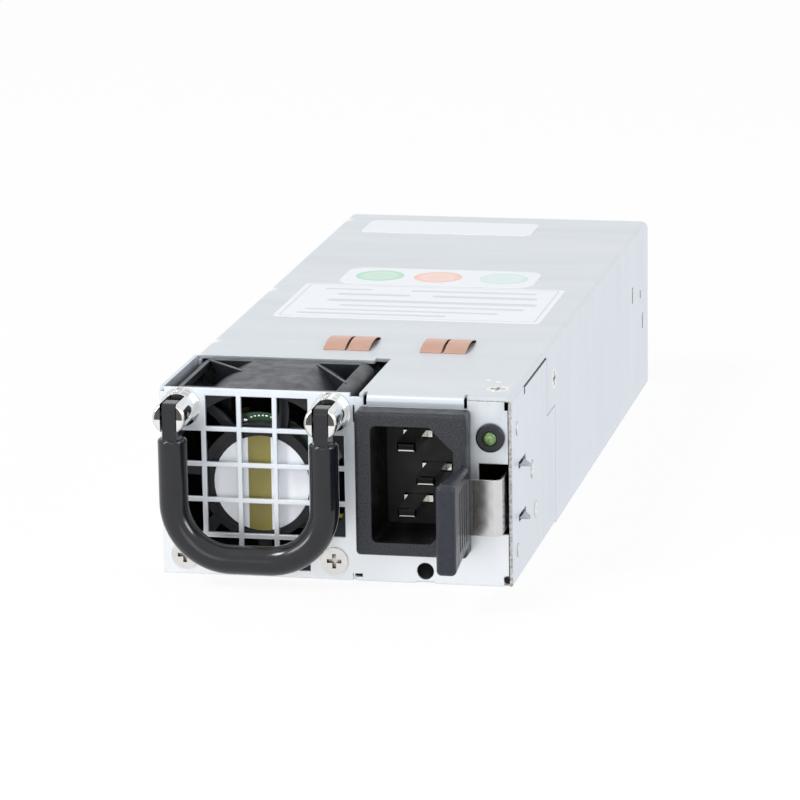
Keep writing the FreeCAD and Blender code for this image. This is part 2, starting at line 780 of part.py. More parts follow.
def make_chassis():
    floor = block("Floor", ("-" + UPSTAND, UPSTAND), ("skin", "case_length - skin"), ("0", "skin"))
    floor_front = block("FloorFront", ("0", RIGHT), ("skin", "wall_lower_length"), ("0", "skin"))
    wall_low = block("WallLow", (INNER, RIGHT), ("0", "wall_lower_length"), ("0", "wall_step_z"))
    wall_high = block("WallHigh", (INNER, RIGHT), ("0", "wall_upper_length"),
                      ("0", UNDER_COVER))
    wall_left = block("WallLeft", (LEFT, "-" + INNER), ("skin", "bay_wall_length + skin/2"),
                      ("0", "case_height"))
    joggle = block("Joggle", (LEFT, "-" + UPSTAND + " + skin"),
                   ("bay_wall_length - skin/2", "bay_wall_length + skin/2"), ("0", UNDER_COVER))
    left_rise = block("LeftRise", ("-" + UPSTAND, "-" + UPSTAND + " + skin"),
                      ("bay_wall_length - skin/2", "case_length - skin"), ("0", "upstand_height"))
    right_rise = block("RightRise", (UPSTAND + " - skin", UPSTAND),
                       ("wall_lower_length - skin", "case_length - skin"), ("0", "upstand_height"))
    right_joggle = block("RightJoggle", (UPSTAND + " - skin", RIGHT),
                         ("wall_lower_length - skin", "wall_lower_length"), ("0", "upstand_height"))
    ears = []
    for across in (("-" + UPSTAND, "-" + UPSTAND + " + skin"), (UPSTAND + " - skin", UPSTAND)):
        ears.append(block("EarPost", across, ("side_screw_y + 3", "side_screw_y + 10"),
                          ("0", "side_screw_z + 4")))
        ears.append(block("EarHead", across, ("side_screw_y - 4", "side_screw_y + 10"),
                          ("side_screw_z - 4.4", "side_screw_z + 4")))
    shelf = block("ScrewShelf", ("top_screw_x - 3", INNER), ("top_screw_y - 4", "top_screw_y + 4"),
                  (UNDER_COVER + " - skin", UNDER_COVER))
    solid = fuse("ChassisSheet", floor, floor_front, wall_low, wall_high, wall_left, joggle,
                 left_rise, right_rise, right_joggle, shelf, *ears)
    bay = block("BayCut", ("-" + INNER, FAN_RIGHT + " + running_gap"),
                ("0", "bay_wall_length - skin/2"), ("-skin", "2*skin"))
    gap = block("EdgeGap", (INNER + " - skin", RIGHT + " + skin"),
                ("edge_gap_start", "wall_upper_length + skin"),
                (UNDER_COVER + " - edge_gap", "case_height"))
    notch = block("EdgeNotch", (INNER + " - skin", RIGHT + " + skin"),
                  ("edge_gap_start - relief/2", "edge_gap_start + 2*relief"),
                  (UNDER_COVER + " - 2*edge_gap - relief", "case_height"))
    slots = []
    for level in ("strip_low", "strip_high - strip_thick"):
        slots.append(block("ToothSlot", (INNER + " - skin", RIGHT + " + skin"),
                           ("tooth_front - 2*tooth_slot_gap", "tooth_rear + tooth_slot_gap"),
                           (level + " - tooth_slot_gap", level + " + strip_thick + tooth_slot_gap")))
    holes = [rod("TopScrewHole", "z", ("top_screw_x", "top_screw_y"), "small_shank/2",
                 (UNDER_COVER + " - 2*skin", "case_height"))]
    holes.append(rod("SideScrewHoles", "x", ("side_screw_y", "side_screw_z"), "small_shank/2",
                     (LEFT, RIGHT)))
    for level in ("rivet_low", "rivet_high"):
        holes.append(rod("RivetHole", "x", ("rivet_y", level), "rivet_diameter/2",
                         (INNER + " - 2*skin", RIGHT + " + skin")))
    sheet_cut = cut("ChassisCut", solid, bay, gap, notch, *(slots + holes))
    bent = soften("ChassisBend", sheet_cut, "edge_round",
                  lambda edge, middle: near(middle.x, number(RIGHT)) and near(middle.z, 0))
    dimples = [dimple("dimple_high_y", "dimple_high_z"), dimple("dimple_low_y", "dimple_low_z")]
    node(fuse("ChassisWithDimples", bent, *dimples), "chassis_base")


def dimple(middle_y, middle_z):
    """A shallow dome pressed outwards from the right wall."""
    radius = "((dimple_diameter^2/4 + dimple_rise^2)/(2*dimple_rise))"
    ball = doc.addObject("Part::Sphere", "DimpleBall")
    ball.setExpression("Radius", linked(radius))
    place(ball, "case_width/2 + dimple_rise - " + radius, middle_y, middle_z)
    slab = block("DimpleSlab", (RIGHT + " - skin/2", RIGHT + " + skin"),
                 (middle_y + " - dimple_diameter", middle_y + " + dimple_diameter"),
                 (middle_z + " - dimple_diameter", middle_z + " + dimple_diameter"))
    return overlap("Dimple", ball, slab)


def make_cover():
    body = new_body("Cover")
    section = sketch_on(body, "CoverSection", "XZ_Plane")
    polygon(section, [
        (LEFT, "0"), ("-" + INNER, "0"), ("-" + INNER, UNDER_COVER), (INNER, UNDER_COVER),
        (INNER, "0"), (RIGHT, "0"), (RIGHT, "case_height"), (LEFT, "case_height")])
    pad(body, "CoverSheet", section, "case_length", backwards=True)
    round_edges(body, "OuterBends", "bend_radius",
                lambda edge, middle: near(abs(middle.x), number(RIGHT))
                and near(middle.z, number("case_height")))
    round_edges(body, "InnerBends", "bend_radius - skin",
                lambda edge, middle: near(abs(middle.x), number(INNER))
                and near(middle.z, number(UNDER_COVER)))
    bay = sketch_on(body, "BayOutline", "XY_Plane", "case_height + skin")
    polygon(bay, [
        (LEFT + " - skin", "-skin"), ("bay_right", "-skin"), ("bay_right", "bay_depth + bay_jog"),
        ("bay_right - jog_width", "bay_depth + bay_jog"), ("bay_right - jog_width", "bay_depth"),
        (LEFT + " - skin", "bay_depth")])
    pocket(body, "BayOpening", bay, "case_height + 2*skin")
    side = sketch_on(body, "SideOutline", "YZ_Plane", RIGHT + " + skin")
    polygon(side, [
        ("-skin", "-skin"), ("wall_lower_length + seam", "-skin"),
        ("wall_lower_length + seam", "wall_step_z + seam"),
        ("wall_upper_length + seam", "wall_step_z + seam"),
        ("wall_upper_length + seam", UNDER_COVER), ("-skin", UNDER_COVER)])
    pocket(body, "SideOpening", side, "3*skin")
    lip_sketch = sketch_on(body, "LipOutline", "XZ_Plane")
    rectangle(lip_sketch, ("lip_left", "lip_right"), ("lip_low", "case_height - skin/2"))
    pad(body, "Lip", lip_sketch, "skin", backwards=True)
    reliefs = sketch_on(body, "LipReliefs", "XY_Plane", "case_height + skin")
    for low, high in (("lip_left - relief", "lip_left"), ("lip_right", "lip_right + relief")):
        rectangle(reliefs, (low, high), ("-skin", "relief_depth"))
    pocket(body, "LipReliefCuts", reliefs, "3*skin")
    round_edges(body, "LipBend", "bend_radius",
                lambda edge, middle: near(middle.y, 0) and near(middle.z, number("case_height"))
                and number("lip_left") < middle.x < number("lip_right"))
    seats = [taper("TopScrewSeat", "z", ("top_screw_x", "top_screw_y"), "small_shank/2",
                   "small_head/2", (UNDER_COVER, "case_height"))]
    seats.append(taper("RightScrewSeat", "x", ("side_screw_y", "side_screw_z"), "small_shank/2",
                       "small_head/2", (INNER, RIGHT)))
    seats.append(taper("LeftScrewSeat", "x", ("side_screw_y", "side_screw_z"), "small_head/2",
                       "small_shank/2", (LEFT, "-" + INNER)))
    vents = []
    for gap, drop, height in (("slot_vent_high_gap", "slot_vent_high_drop", "slot_vent_long"),
                              ("slot_vent_middle_gap", "slot_vent_middle_drop", "slot_vent_short"),
                              ("slot_vent_low_gap", "slot_vent_low_drop", "slot_vent_long")):
        start = "case_length - " + gap
        level = "case_height - %s %%s %s/2" % (drop, height)
        vents.append(block("SideVent", (INNER + " - skin", RIGHT + " + skin"),
                           (start, start + " + slot_vent_width"), (level % "-", level % "+")))
    darts = []
    for spot in ("dart_front", "dart_middle", "case_length - dart_rear_gap"):
        dart = doc.addObject("Part::Sphere", "Dart")
        dart.setExpression("Radius", linked("dart_radius"))
        place(dart, LEFT + " - dart_offset", spot, "case_height + dart_offset")
        darts.append(dart)
    node(cut("CoverWithSeats", body, *(seats + vents + darts)), "top_cover")


def make_rear_panel():
    body = new_body("RearPanel")
    outline = sketch_on(body, "RearOutline", "XZ_Plane", "skin - case_length")
    rectangle(outline, ("-" + UPSTAND, UPSTAND), ("0", UNDER_COVER + " - seam"))
    pad(body, "RearSheet", outline, "skin", backwards=True)
    round_edges(body, "RearCorners", "bend_radius - skin + seam",
                lambda edge, middle: near(abs(middle.x), number(UPSTAND))
                and near(middle.z, number(UNDER_COVER + " - seam")))
    columns = int(number("vent_columns"))
    for row in range(int(number("vent_rows"))):
        vents = sketch_on(body, "VentHoles", "XZ_Plane", "skin - case_length")
        outlines(vents, [square("(%g)*vent_pitch" % (column - (columns - 1) / 2),
                                "vent_z + (%d)*vent_pitch" % (row - 1), "vent_hole")
                         for column in range(columns)])
        pocket(body, "VentRow", vents, "2*skin")
    window = sketch_on(body, "PlugWindow", "XZ_Plane", "skin - case_length")
    rectangle(window, ("plug_x - plug_width/2 - seam", "plug_x + plug_width/2 + seam"),
              (BOARD_TOP + " + plug_rise - seam", BOARD_TOP + " + plug_height + seam"))
    pocket(body, "PlugOpening", window, "2*skin")
    node(body, "rear_panel")


# ---- fan ----

def duct_piece(name, radius, start, end):
    return rod(name, "y", ("fan_x", MIDDLE), radius, (start, end))


def corner_at(side_x, side_z):
    return ("fan_x + %d*fan_hole_pitch/2" % side_x, "case_height/2 + %d*fan_hole_pitch/2" % side_z)


def make_fan_frame():
    square = block("FanSquare", (FAN_LEFT, FAN_RIGHT), ("skin", FAN_REAR), (FAN_LOW, FAN_HIGH))
    rounded = soften("FanRounded", square, "fan_corner",
                     lambda edge, middle: near(middle.y, number("skin + fan_depth/2")))
    pockets = []
    inner_start = "skin + fan_flange"
    inner_end = FAN_REAR + " - fan_flange"
    for side in (-1, 1):
        edge = "case_height/2 + (%d)*fan_size/2" % side
        deep = "case_height/2 + (%d)*fan_size/4" % side
        low, high = (deep, edge + " + 1") if side > 0 else (edge + " - 1", deep)
        pockets.append(block("FanPocket", (FAN_LEFT + " + fan_post", FAN_RIGHT + " - fan_post"),
                             (inner_start, inner_end), (low, high)))
    shell = cut("FanPocketed", rounded, *pockets)
    barrel = duct_piece("FanBarrel", "fan_bore/2 + fan_duct_wall", "skin", FAN_REAR)
    barrel_trim = overlap("FanBarrelTrim", barrel, rounded)
    block_sum = fuse("FanShell", shell, barrel_trim, *fan_ribs())
    bore = duct_piece("FanBore", "fan_bore/2", "skin - 1", FAN_REAR + " + 1")
    holes = [rod("FanHole", "y", corner_at(x, z), "fan_hole/2", ("skin - 1", FAN_REAR + " + 1"))
             for x in (-1, 1) for z in (-1, 1)]
    lead_notch = block("LeadNotch", ("fan_x + fan_bore/2 - notch_depth", FAN_RIGHT + " + 1"),
                       ("hub_rear", "hub_rear + notch_length"),
                       ("lead_exit_z - lead_drop - notch_room", "lead_exit_z + notch_room"))
    hollow = cut("FanHollow", block_sum, bore, lead_notch, *holes)
    hub = duct_piece("FanHubPlate", "fan_hub/2", "hub_front", "hub_rear")
    seat = duct_piece("FanHubSeat", "seat_diameter/2", "skin", "hub_front + seat_depth")
    tube = duct_piece("FanTube", "tube_radius", "hub_front + seat_depth", "tube_rear")
    bearing_bore = duct_piece("BearingBore", "fan_bearing/2", "hub_rear - hub_floor", FAN_REAR)
    middle = cut("FanCentre", fuse("FanHub", cut("FanHubSeated", hub, seat), tube), bearing_bore)
    node(fuse("FanFrame", hollow, middle, fan_vanes()), "fan_frame")


def fan_ribs():
    """Upright ribs that cross the outer pockets from the posts to the barrel."""
    ribs = []
    for post_x, post_y, root_x, root_y in (
            (FAN_LEFT + " + fan_post - fan_web/2", FAN_REAR + " - fan_flange",
             "fan_x - rib_root", "skin + rib_left_y"),
            (FAN_RIGHT + " - fan_post + fan_web/2", "skin + rib_right_y",
             "fan_x + rib_root", FAN_REAR + " - fan_flange")):
        body = new_body("FanRib")
        outline = sketch_on(body, "RibOutline", "XY_Plane", FAN_LOW)
        polygon(outline, [(post_x, post_y), (root_x, root_y),
                          (root_x, root_y + " + fan_web"), (post_x, post_y + " + fan_web")])
        pad(body, "Rib", outline, "fan_size")
        ribs.append(body)
    return ribs


def fan_vanes():
    """Leaning curved vanes that carry the hub plate in the duct."""
    sections = []
    depth = number("fan_hub_plate")
    lean = number("vane_lean")
    thick = number("vane_thick")
    hub = number("fan_hub/2")
    bore = number("fan_bore/2")
    for radius, sweep in ((hub - 0.8, 0.0), ((hub + bore) / 2, 3.6), (bore + 0.6, 11.0)):
        edge = -radius * math.sin(math.radians(sweep))
        points = [FreeCAD.Vector(edge, 0, radius), FreeCAD.Vector(edge - lean, depth - thick, radius),
                  FreeCAD.Vector(edge - lean, depth, radius), FreeCAD.Vector(edge, thick, radius)]
        sections.append(Part.makePolygon(points + points[:1]))
    vane = Part.makeLoft(sections, True)
    count = int(number("vane_count"))
    middle = vector("fan_x", "hub_front", MIDDLE)
    vanes = []
    for index in range(count):
        turn = FreeCAD.Rotation(FreeCAD.Vector(0, 1, 0), 360 * index / count + number("vane_angle"))
        vanes.append(from_shape("FanVane", vane, FreeCAD.Placement(middle, turn)))
    limit = duct_piece("VaneLimit", "fan_bore/2 + fan_rim/2", "hub_front", "hub_rear")
    return overlap("FanVanes", fuse("FanVaneRing", *vanes), limit)


def make_fan_inside():
    bearings = []
    for start in ("hub_rear", "tube_rear - bearing_length"):
        outer = duct_piece("BearingOuter", "fan_bearing/2", start, start + " + bearing_length")
        inner = duct_piece("BearingInner", "fan_shaft/2 + shaft_fit", start + " - 1",
                           start + " + bearing_length + 1")
        bearings.append(cut("Bearing", outer, inner))
    node(gather("FanBearings", bearings), "fan_bearings")
    depth = ("hub_rear", "hub_rear + driver_thick")
    board = duct_piece("DriverDisc", "fan_hub/2", *depth)
    lobe = overlap("DriverLobe", duct_piece("DriverRound", "driver_reach", *depth),
                   block("DriverSector", ("fan_x - driver_left", "fan_x + driver_right"), depth,
                         ("case_height/2", "case_height/2 + driver_reach")))
    tab = block("DriverTab", ("fan_x", "fan_x + lead_exit_x"), depth,
                ("lead_exit_z - driver_tab", "lead_exit_z + driver_tab"))
    board_hole = duct_piece("DriverHole", "tube_radius", "skin", "tube_rear")
    node(cut("DriverBoard", fuse("DriverBlank", board, lobe, tab), board_hole), "fan_driver_board")
    front = "(hub_rear + stator_gap)"
    rear = "(hub_rear + stator_gap + stator_length)"
    laminations = duct_piece("Laminations", "fan_stator/2", front, rear)
    core = duct_piece("StatorCore", "fan_stator/4", "hub_rear + driver_thick", rear + " + stator_end")
    half = "stator_slot/2"
    slots = [block("StatorSlot", ("fan_x - fan_stator", "fan_x + fan_stator"), (front, rear),
                   ("case_height/2 - " + half, "case_height/2 + " + half)),
             block("StatorSlot", ("fan_x - " + half, "fan_x + " + half), (front, rear),
                   ("case_height/2 - fan_stator", "case_height/2 + fan_stator"))]
    bobbin_bore = duct_piece("StatorBore", "tube_radius", "skin", FAN_REAR)
    stator = fuse("StatorBody", cut("StatorPoles", laminations, *slots), core)
    node(cut("Stator", stator, bobbin_bore), "fan_stator")


def blade_section(radius, pitch_deg, chord, thickness):
    """A bowed plate in a flat plane at a distance above the fan axis."""
    turn = math.radians(pitch_deg)
    curves = []
    for side in (1, -1):
        row = []
        for step in range(5):
            share = step / 4
            run = (share - 0.5) * chord
            swell = 0.4 + 0.6 * math.sin(math.pi * share)
            rise = 0.10 * chord * math.sin(math.pi * share) + side * thickness / 2 * swell
            row.append(FreeCAD.Vector(run * math.sin(turn) + rise * math.cos(turn),
                                      run * math.cos(turn) - rise * math.sin(turn), radius))
        curve = Part.BSplineCurve()
        curve.interpolate(row)
        curves.append((curve.toShape(), row))
    front, rear = curves
    edges = [front[0], Part.makeLine(front[1][-1], rear[1][-1]), rear[0],
             Part.makeLine(rear[1][0], front[1][0])]
    return Part.Wire(Part.__sortEdges__(edges))


def make_fan_rotor():
    outer = duct_piece("CupOuter", "cup_radius", "cup_front", "cup_rear")
    inner = duct_piece("CupInner", "cup_radius - fan_cup_wall", "cup_front - 1", "cup_rear - cup_floor")
    boss = duct_piece("CupBoss", "fan_shaft/2 + boss_wall", "cup_rear - boss_length", "cup_rear")
    cup = fuse("Cup", cut("CupShell", outer, inner), boss)
    root = number("cup_radius") - 2.7
    tip = number("fan_bore/2") + 1
    chord = number("fan_blade_width")
    sections = [blade_section(root, -46, chord, 1.5),
                blade_section((root + tip) / 2, -52, 0.9 * chord, 1.2),
                blade_section(tip, -58, 0.8 * chord, 0.9)]
    blade = Part.makeLoft(sections, True)
    middle = vector("fan_x", "cup_front + fan_blade_width/2", MIDDLE)
    count = int(number("fan_blades"))
    blades = []
    for index in range(count):
        turn = FreeCAD.Rotation(FreeCAD.Vector(0, 1, 0), 360 * index / count)
        blades.append(from_shape("Blade", blade, FreeCAD.Placement(middle, turn)))
    limit = duct_piece("BladeLimit", "fan_bore/2 - fan_tip_gap", "cup_front", "cup_rear")
    trimmed = overlap("BladesTrimmed", fuse("BladeRing", *blades), limit)
    hub_bore = duct_piece("HubBore", "fan_shaft/2", "cup_front", "cup_rear - fan_cup_wall")
    clear = duct_piece("HubClear", "cup_radius - fan_cup_wall", "cup_front - 1", "cup_rear - boss_length")
    rotor = cut("Rotor", fuse("RotorBlank", cup, trimmed), hub_bore, clear)
    node(rotor, "fan_impeller")
    magnet_span = ("cup_front + magnet_gap", "cup_front + magnet_gap + magnet_length")
    magnet = duct_piece("MagnetOuter", "cup_radius - fan_cup_wall", *magnet_span)
    magnet_bore = duct_piece("MagnetInner", "cup_radius - fan_cup_wall - fan_magnet", *magnet_span)
    node(cut("Magnet", magnet, magnet_bore), "fan_magnet")
    shaft = duct_piece("Shaft", "fan_shaft/2", "hub_rear", "cup_rear - fan_cup_wall")
    node(shaft, "fan_shaft")


# ---- fixings and handle ----

def make_fan_screws():
    screws = []
    for side in (-1, 1):
        centre = corner_at(side, -1)
        head = taper("ScrewHead", "y", centre, "screw_head/2", "screw_shank/2", ("0", "skin"))
        dome = rod("ScrewDome", "y", centre, "screw_head/2", ("-0.35", "0"))
        shank = rod("ScrewShank", "y", centre, "screw_shank/2", ("skin", "screw_length"))
        blank = fuse("ScrewBlank", head, dome, shank)
        screws.append(cut("FanScrew", blank, *cross_recess("y", centre, ("-1", "recess_deep"))))
    node(gather("FanScrews", screws), "fan_screws")


def cross_recess(axis, centre, span):
    """Two crossed bars that leave a driver recess in a screw head."""
    bars = []
    for reaches in (("recess_reach", "recess_slot/2"), ("recess_slot/2", "recess_reach")):
        sides = [("%s - %s" % pair, "%s + %s" % pair) for pair in zip(centre, reaches)]
        sides.insert("xyz".index(axis), span)
        bars.append(block("RecessBar", *sides))
    return bars


def make_case_fixings():
    spot = ("top_screw_x", "top_screw_y")
    side = ("side_screw_y", "side_screw_z")
    top = fuse("TopScrew",
               taper("TopHead", "z", spot, "small_shank/2", "small_head/2", (UNDER_COVER, "case_height")),
               rod("TopShank", "z", spot, "small_shank/2", ("case_height - small_length", UNDER_COVER)))
    right = fuse("RightScrew",
                 taper("RightHead", "x", side, "small_shank/2", "small_head/2", (INNER, RIGHT)),
                 rod("RightShank", "x", side, "small_shank/2", (RIGHT + " - small_length", INNER)))
    left = fuse("LeftScrew",
                taper("LeftHead", "x", side, "small_head/2", "small_shank/2", (LEFT, "-" + INNER)),
                rod("LeftShank", "x", side, "small_shank/2", ("-" + INNER, LEFT + " + small_length")))
    recesses = ((top, "z", spot, ("case_height - recess_deep", "case_height + 1")),
                (right, "x", side, (RIGHT + " - recess_deep", RIGHT + " + 1")),
                (left, "x", side, (LEFT + " - 1", LEFT + " + recess_deep")))
    screws = [cut("CoverScrew", screw, *cross_recess(axis, centre, span))
              for screw, axis, centre, span in recesses]
    node(gather("CoverScrews", screws), "cover_screws")
    rivets = []
    for level in ("rivet_low", "rivet_high"):
        rivet = rod("PanelRivet", "x", ("rivet_y", level), "rivet_diameter/2",
                    (INNER + " - skin", RIGHT + " + rivet_dome"))
        rivets.append(soften("PanelRivetDomed", rivet, "rivet_dome*0.9",
                             lambda edge, middle: near(middle.x, number(RIGHT + " + rivet_dome"))))
    node(gather("PanelRivets", rivets), "panel_rivets")


def make_ferrules():
    ferrules = []
    pins = []
    for side in (-1, 1):
        centre = corner_at(side, 1)
        barrel = rod("FerruleBarrel", "y", centre, "ferrule_diameter/2", ("-ferrule_length", "0"))
        rounded = soften("FerruleRounded", barrel, "ferrule_round",
                         lambda edge, middle: near(middle.y, -number("ferrule_length")))
        base = rod("FerruleRing", "y", centre, "ferrule_ring/2", ("-ferrule_ring_height", "0"))
        stud = rod("FerruleStud", "y", centre, "ferrule_stud/2", ("0", "screw_length"))
        blank = fuse("FerruleBlank", rounded, base, stud)
        slot = block("FerruleSlot", (centre[0] + " - slot_width/2", centre[0] + " + slot_width/2"),
                     ("-ferrule_length - 1", "slot_depth - ferrule_length"),
                     (centre[1] + " - ferrule_diameter", centre[1] + " + ferrule_diameter"))
        half = "(ferrule_diameter/2 - pin_inset)"
        pin_span = (centre[0] + " - " + half, centre[0] + " + " + half)
        hole = rod("PinHole", "x", (PIVOT_Y, PIVOT_Z), "pin_diameter/2",
                   (centre[0] + " - ferrule_diameter", centre[0] + " + ferrule_diameter"))
        ferrules.append(cut("Ferrule", blank, slot, hole))
        pins.append(rod("HingePin", "x", (PIVOT_Y, PIVOT_Z), "pin_diameter/2", pin_span))
    node(gather("Ferrules", ferrules), "handle_ferrules")
    node(gather("HingePins", pins), "handle_pins")


def make_handle():
    half = "rod_diameter/2"
    corner_z = "bar_z + rod_bend"
    parts = []
    shoulder = PIVOT_Z + " - shoulder_drop"
    for side in (-1, 1):
        leg_x = "fan_x + (%d)*fan_hole_pitch/2" % side
        corner_x = "fan_x + (%d)*(fan_hole_pitch/2 - rod_bend)" % side
        leg = rod("BailLeg", "z", (leg_x, "-rod_setback"), half, (corner_z, shoulder))
        rounded = soften("BailLegRounded", leg, "leg_round",
                         lambda edge, middle: near(middle.z, number(shoulder)))
        quarter = FreeCAD.Rotation(FreeCAD.Vector(0, 0, 1), 180 if side < 0 else 270)
        upright = FreeCAD.Rotation(FreeCAD.Vector(1, 0, 0), 90)
        bend = ring("BailBend", (corner_x, "-rod_setback", corner_z), "rod_bend", half,
                    upright.multiply(quarter))
        bend.Angle3 = 90
        tongue = block("Tongue", (leg_x + " - tongue_width/2", leg_x + " + tongue_width/2"),
                       ("-rod_setback - tongue_depth/2", "-rod_setback + tongue_depth/2"),
                       (shoulder + " - tongue_root", PIVOT_Z + " + tongue_rise"))
        nose = soften("TongueRounded", tongue, "tongue_round",
                      lambda edge, middle: near(middle.z, number(PIVOT_Z + " + tongue_rise"))
                      and abs(middle.y + number("rod_setback")) > 1)
        hole = rod("TongueHole", "x", (PIVOT_Y, PIVOT_Z), "pin_diameter/2 + pivot_fit",
                   (leg_x + " - tongue_width", leg_x + " + tongue_width"))
        parts += [rounded, bend, cut("TongueDrilled", nose, hole)]
    bar = rod("BailBar", "x", ("-rod_setback", "bar_z"), half,
              ("fan_x - fan_hole_pitch/2 + rod_bend", "fan_x + fan_hole_pitch/2 - rod_bend"))
    node(fuse("Bail", bar, *parts), "handle_bail")


# ---- appliance inlet ----

def make_inlet():
    body = new_body("InletBody")
    bezel = sketch_on(body, "BezelOutline", "XZ_Plane", "bezel_depth")
    rectangle(bezel, ("inlet_x - bezel_width/2", "inlet_x + bezel_width/2"),
              ("inlet_z - bezel_height/2", "inlet_z + bezel_height/2"))
    pad(body, "Bezel", bezel, "bezel_depth", backwards=True)
    round_edges(body, "BezelRounded", "bezel_round",
                lambda edge, middle: not near(middle.y, 0))
    rear = sketch_on(body, "BlockOutline", "XZ_Plane")
    rectangle(rear, ("inlet_x - inlet_width/2", "inlet_x + inlet_width/2"),
              ("inlet_z - inlet_height/2", "inlet_z + inlet_height/2"))
    pad(body, "Block", rear, "inlet_depth", backwards=True)
    hollow = sketch_on(body, "RecessOutline", "XZ_Plane", "bezel_depth + 1")
    left = RECESS_X + " - recess_width/2"
    right = RECESS_X + " + recess_width/2"
    low = "inlet_z - recess_height/2"
    high = "inlet_z + recess_height/2"
    polygon(hollow, [
        (left, low), (right + " - recess_chamfer", low), (right, low + " + recess_chamfer"),
        (right, high + " - recess_chamfer"), (right + " - recess_chamfer", high), (left, high)])
    pocket(body, "Recess", hollow, "bezel_depth + 1 + recess_floor")
    halfway = number("(recess_floor - bezel_depth)/2")
    round_edges(body, "RecessRounded", "recess_round",
                lambda edge, middle: near(middle.x, number(left)) and near(middle.y, halfway))
    slots = []
    for x, z in blade_places():
        slots.append(block("BladeSlot", (x + " - shoulder_width/2", x + " + shoulder_width/2"),
                           ("recess_floor - 1", "inlet_depth + 1"),
                           (z + " - blade_thick/2", z + " + blade_thick/2")))
    node(cut("InletDrilled", body, *slots), "inlet_body")


def blade_places():
    inner = RECESS_X + " - blade_offset/2"
    outer = RECESS_X + " + blade_offset/2"
    return ((inner, "inlet_z + blade_pitch/2"), (inner, "inlet_z - blade_pitch/2"), (outer, "inlet_z"))


def make_inlet_blades():
    blades = []
    for x, z in blade_places():
        front = block("BladeFront", (x + " - blade_width/2", x + " + blade_width/2"),
                      ("-blade_tip", "inlet_depth"), (z + " - blade_thick/2", z + " + blade_thick/2"))
        tip = soften("BladeTip", front, "0.55",
                     lambda edge, middle: near(middle.y, -number("blade_tip")))
        tail = block("BladeTab", (x + " - blade_width/2", x + " + blade_width/2"),
                     ("inlet_depth", "blade_tail"), (z + " - tab_thick/2", z + " + tab_thick/2"))
        shoulder = block("BladeShoulder", (x + " - shoulder_width/2", x + " + shoulder_width/2"),
                         ("recess_floor - shoulder_rise", "recess_floor + shoulder_length"),
                         (z + " - shoulder_thick/2", z + " + shoulder_thick/2"))
        blades.append(fuse("Blade", tip, tail, shoulder))
    node(gather("Blades", blades), "inlet_blades")


def lead_path(points):
    """Straight runs joined by tangent arcs as large as the two runs allow."""
    corners = [vector(*point) for point in points]
    edges = []
    start = corners[0]
    for before, corner, after in zip(corners, corners[1:], corners[2:]):
        back = (before - corner)
        ahead = (after - corner)
        reach = 0.45 * min(back.Length, ahead.Length)
        back.normalize()
        ahead.normalize()
        enter = corner + back * reach
        leave = corner + ahead * reach
        half = back.getAngle(ahead) / 2
        bisector = (back + ahead)
        bisector.normalize()
        distance = reach / math.cos(half)
        radius = reach * math.tan(half)
        middle = corner + bisector * (distance - radius)
        edges.append(Part.LineSegment(start, enter).toShape())
        edges.append(Part.Arc(enter, middle, leave).toShape())
        start = leave
    edges.append(Part.LineSegment(start, corners[-1]).toShape())
    return Part.Wire(edges)


def lead(name, points, diameter):
    path = lead_path(points)
    first = path.Edges[0]
    direction = first.tangentAt(first.FirstParameter)
    circle = Part.Circle(first.valueAt(first.FirstParameter), direction, number(diameter) / 2)
    section = Part.Wire(circle.toShape())
    tube = path.makePipeShell([section], True, True)
    return from_shape(name, tube)


def make_leads():
    leads = []
    landing_y = "board_front + 1.6"
    for order, (x, z) in enumerate(blade_places()):
        end_x = "inlet_x - 1 + (%d)*3.6" % (order - 1)
        leads.append(lead("MainsLead", [
            (x, "blade_tail + 0.02", z),
            (x, "blade_tail + 4", z),
            (end_x, "board_front - 3", "(%s + inlet_z)/2" % z),
            (end_x, landing_y, BOARD_TOP + " + 5"),
            (end_x, landing_y, BOARD_TOP + " + 0.02")], "lead_diameter"))
    node(gather("MainsLeads", leads), "inlet_leads")
    small = []
    outside = FAN_RIGHT + " + 1"
    for order in range(3):
        level = "lead_exit_z + (%d)*lead_pitch" % (order - 1)
        end_x = "header_x + (%d)*2" % (1 - order)
        small.append(lead("FanLead", [
            ("fan_x + lead_exit_x + lead_start", "hub_rear + driver_thick/2 + lead_clear", level),
            (outside, "hub_rear + lead_rise", level + " - lead_drop"),
            (outside, FAN_REAR + " + 2", level + " - lead_drop"),
            (end_x, "header_y", "lead_exit_z + 3"),
            (end_x, "header_y", BOARD_TOP + " + header_height + 0.02")], "fan_lead_diameter"))
    node(gather("FanLeads", small), "fan_leads")
    header = block("FanHeader", ("header_x - header_width/2", "header_x + header_width/2"),
                   ("header_y - header_depth/2", "header_y + header_depth/2"),
                   (BOARD_TOP, BOARD_TOP + " + header_height"))
    node(header, "fan_header")


def make_indicator():
    flange = rod("LedFlange", "y", ("led_x", "led_z"), "led_flange/2", ("-1", "0"))
    rounded = soften("LedFlangeRounded", flange, "0.5", lambda edge, middle: near(middle.y, -1))
    sleeve = rod("LedSleeve", "y", ("led_x", "led_z"), "led_body/2", ("-0.2", "led_length"))
    bore = rod("LedBore", "y", ("led_x", "led_z"), "led_lens/2", ("-2", "led_length + 1"))
    node(cut("LedHolder", fuse("LedHolderBlank", rounded, sleeve), bore), "led_holder")
    stem = rod("LedStem", "y", ("led_x", "led_z"), "led_lens/2", ("-0.9", "led_length + 1"))
    lens = soften("LedLens", stem, "0.6", lambda edge, middle: near(middle.y, -0.9))
    node(lens, "led_lamp")


# ---- latch ----

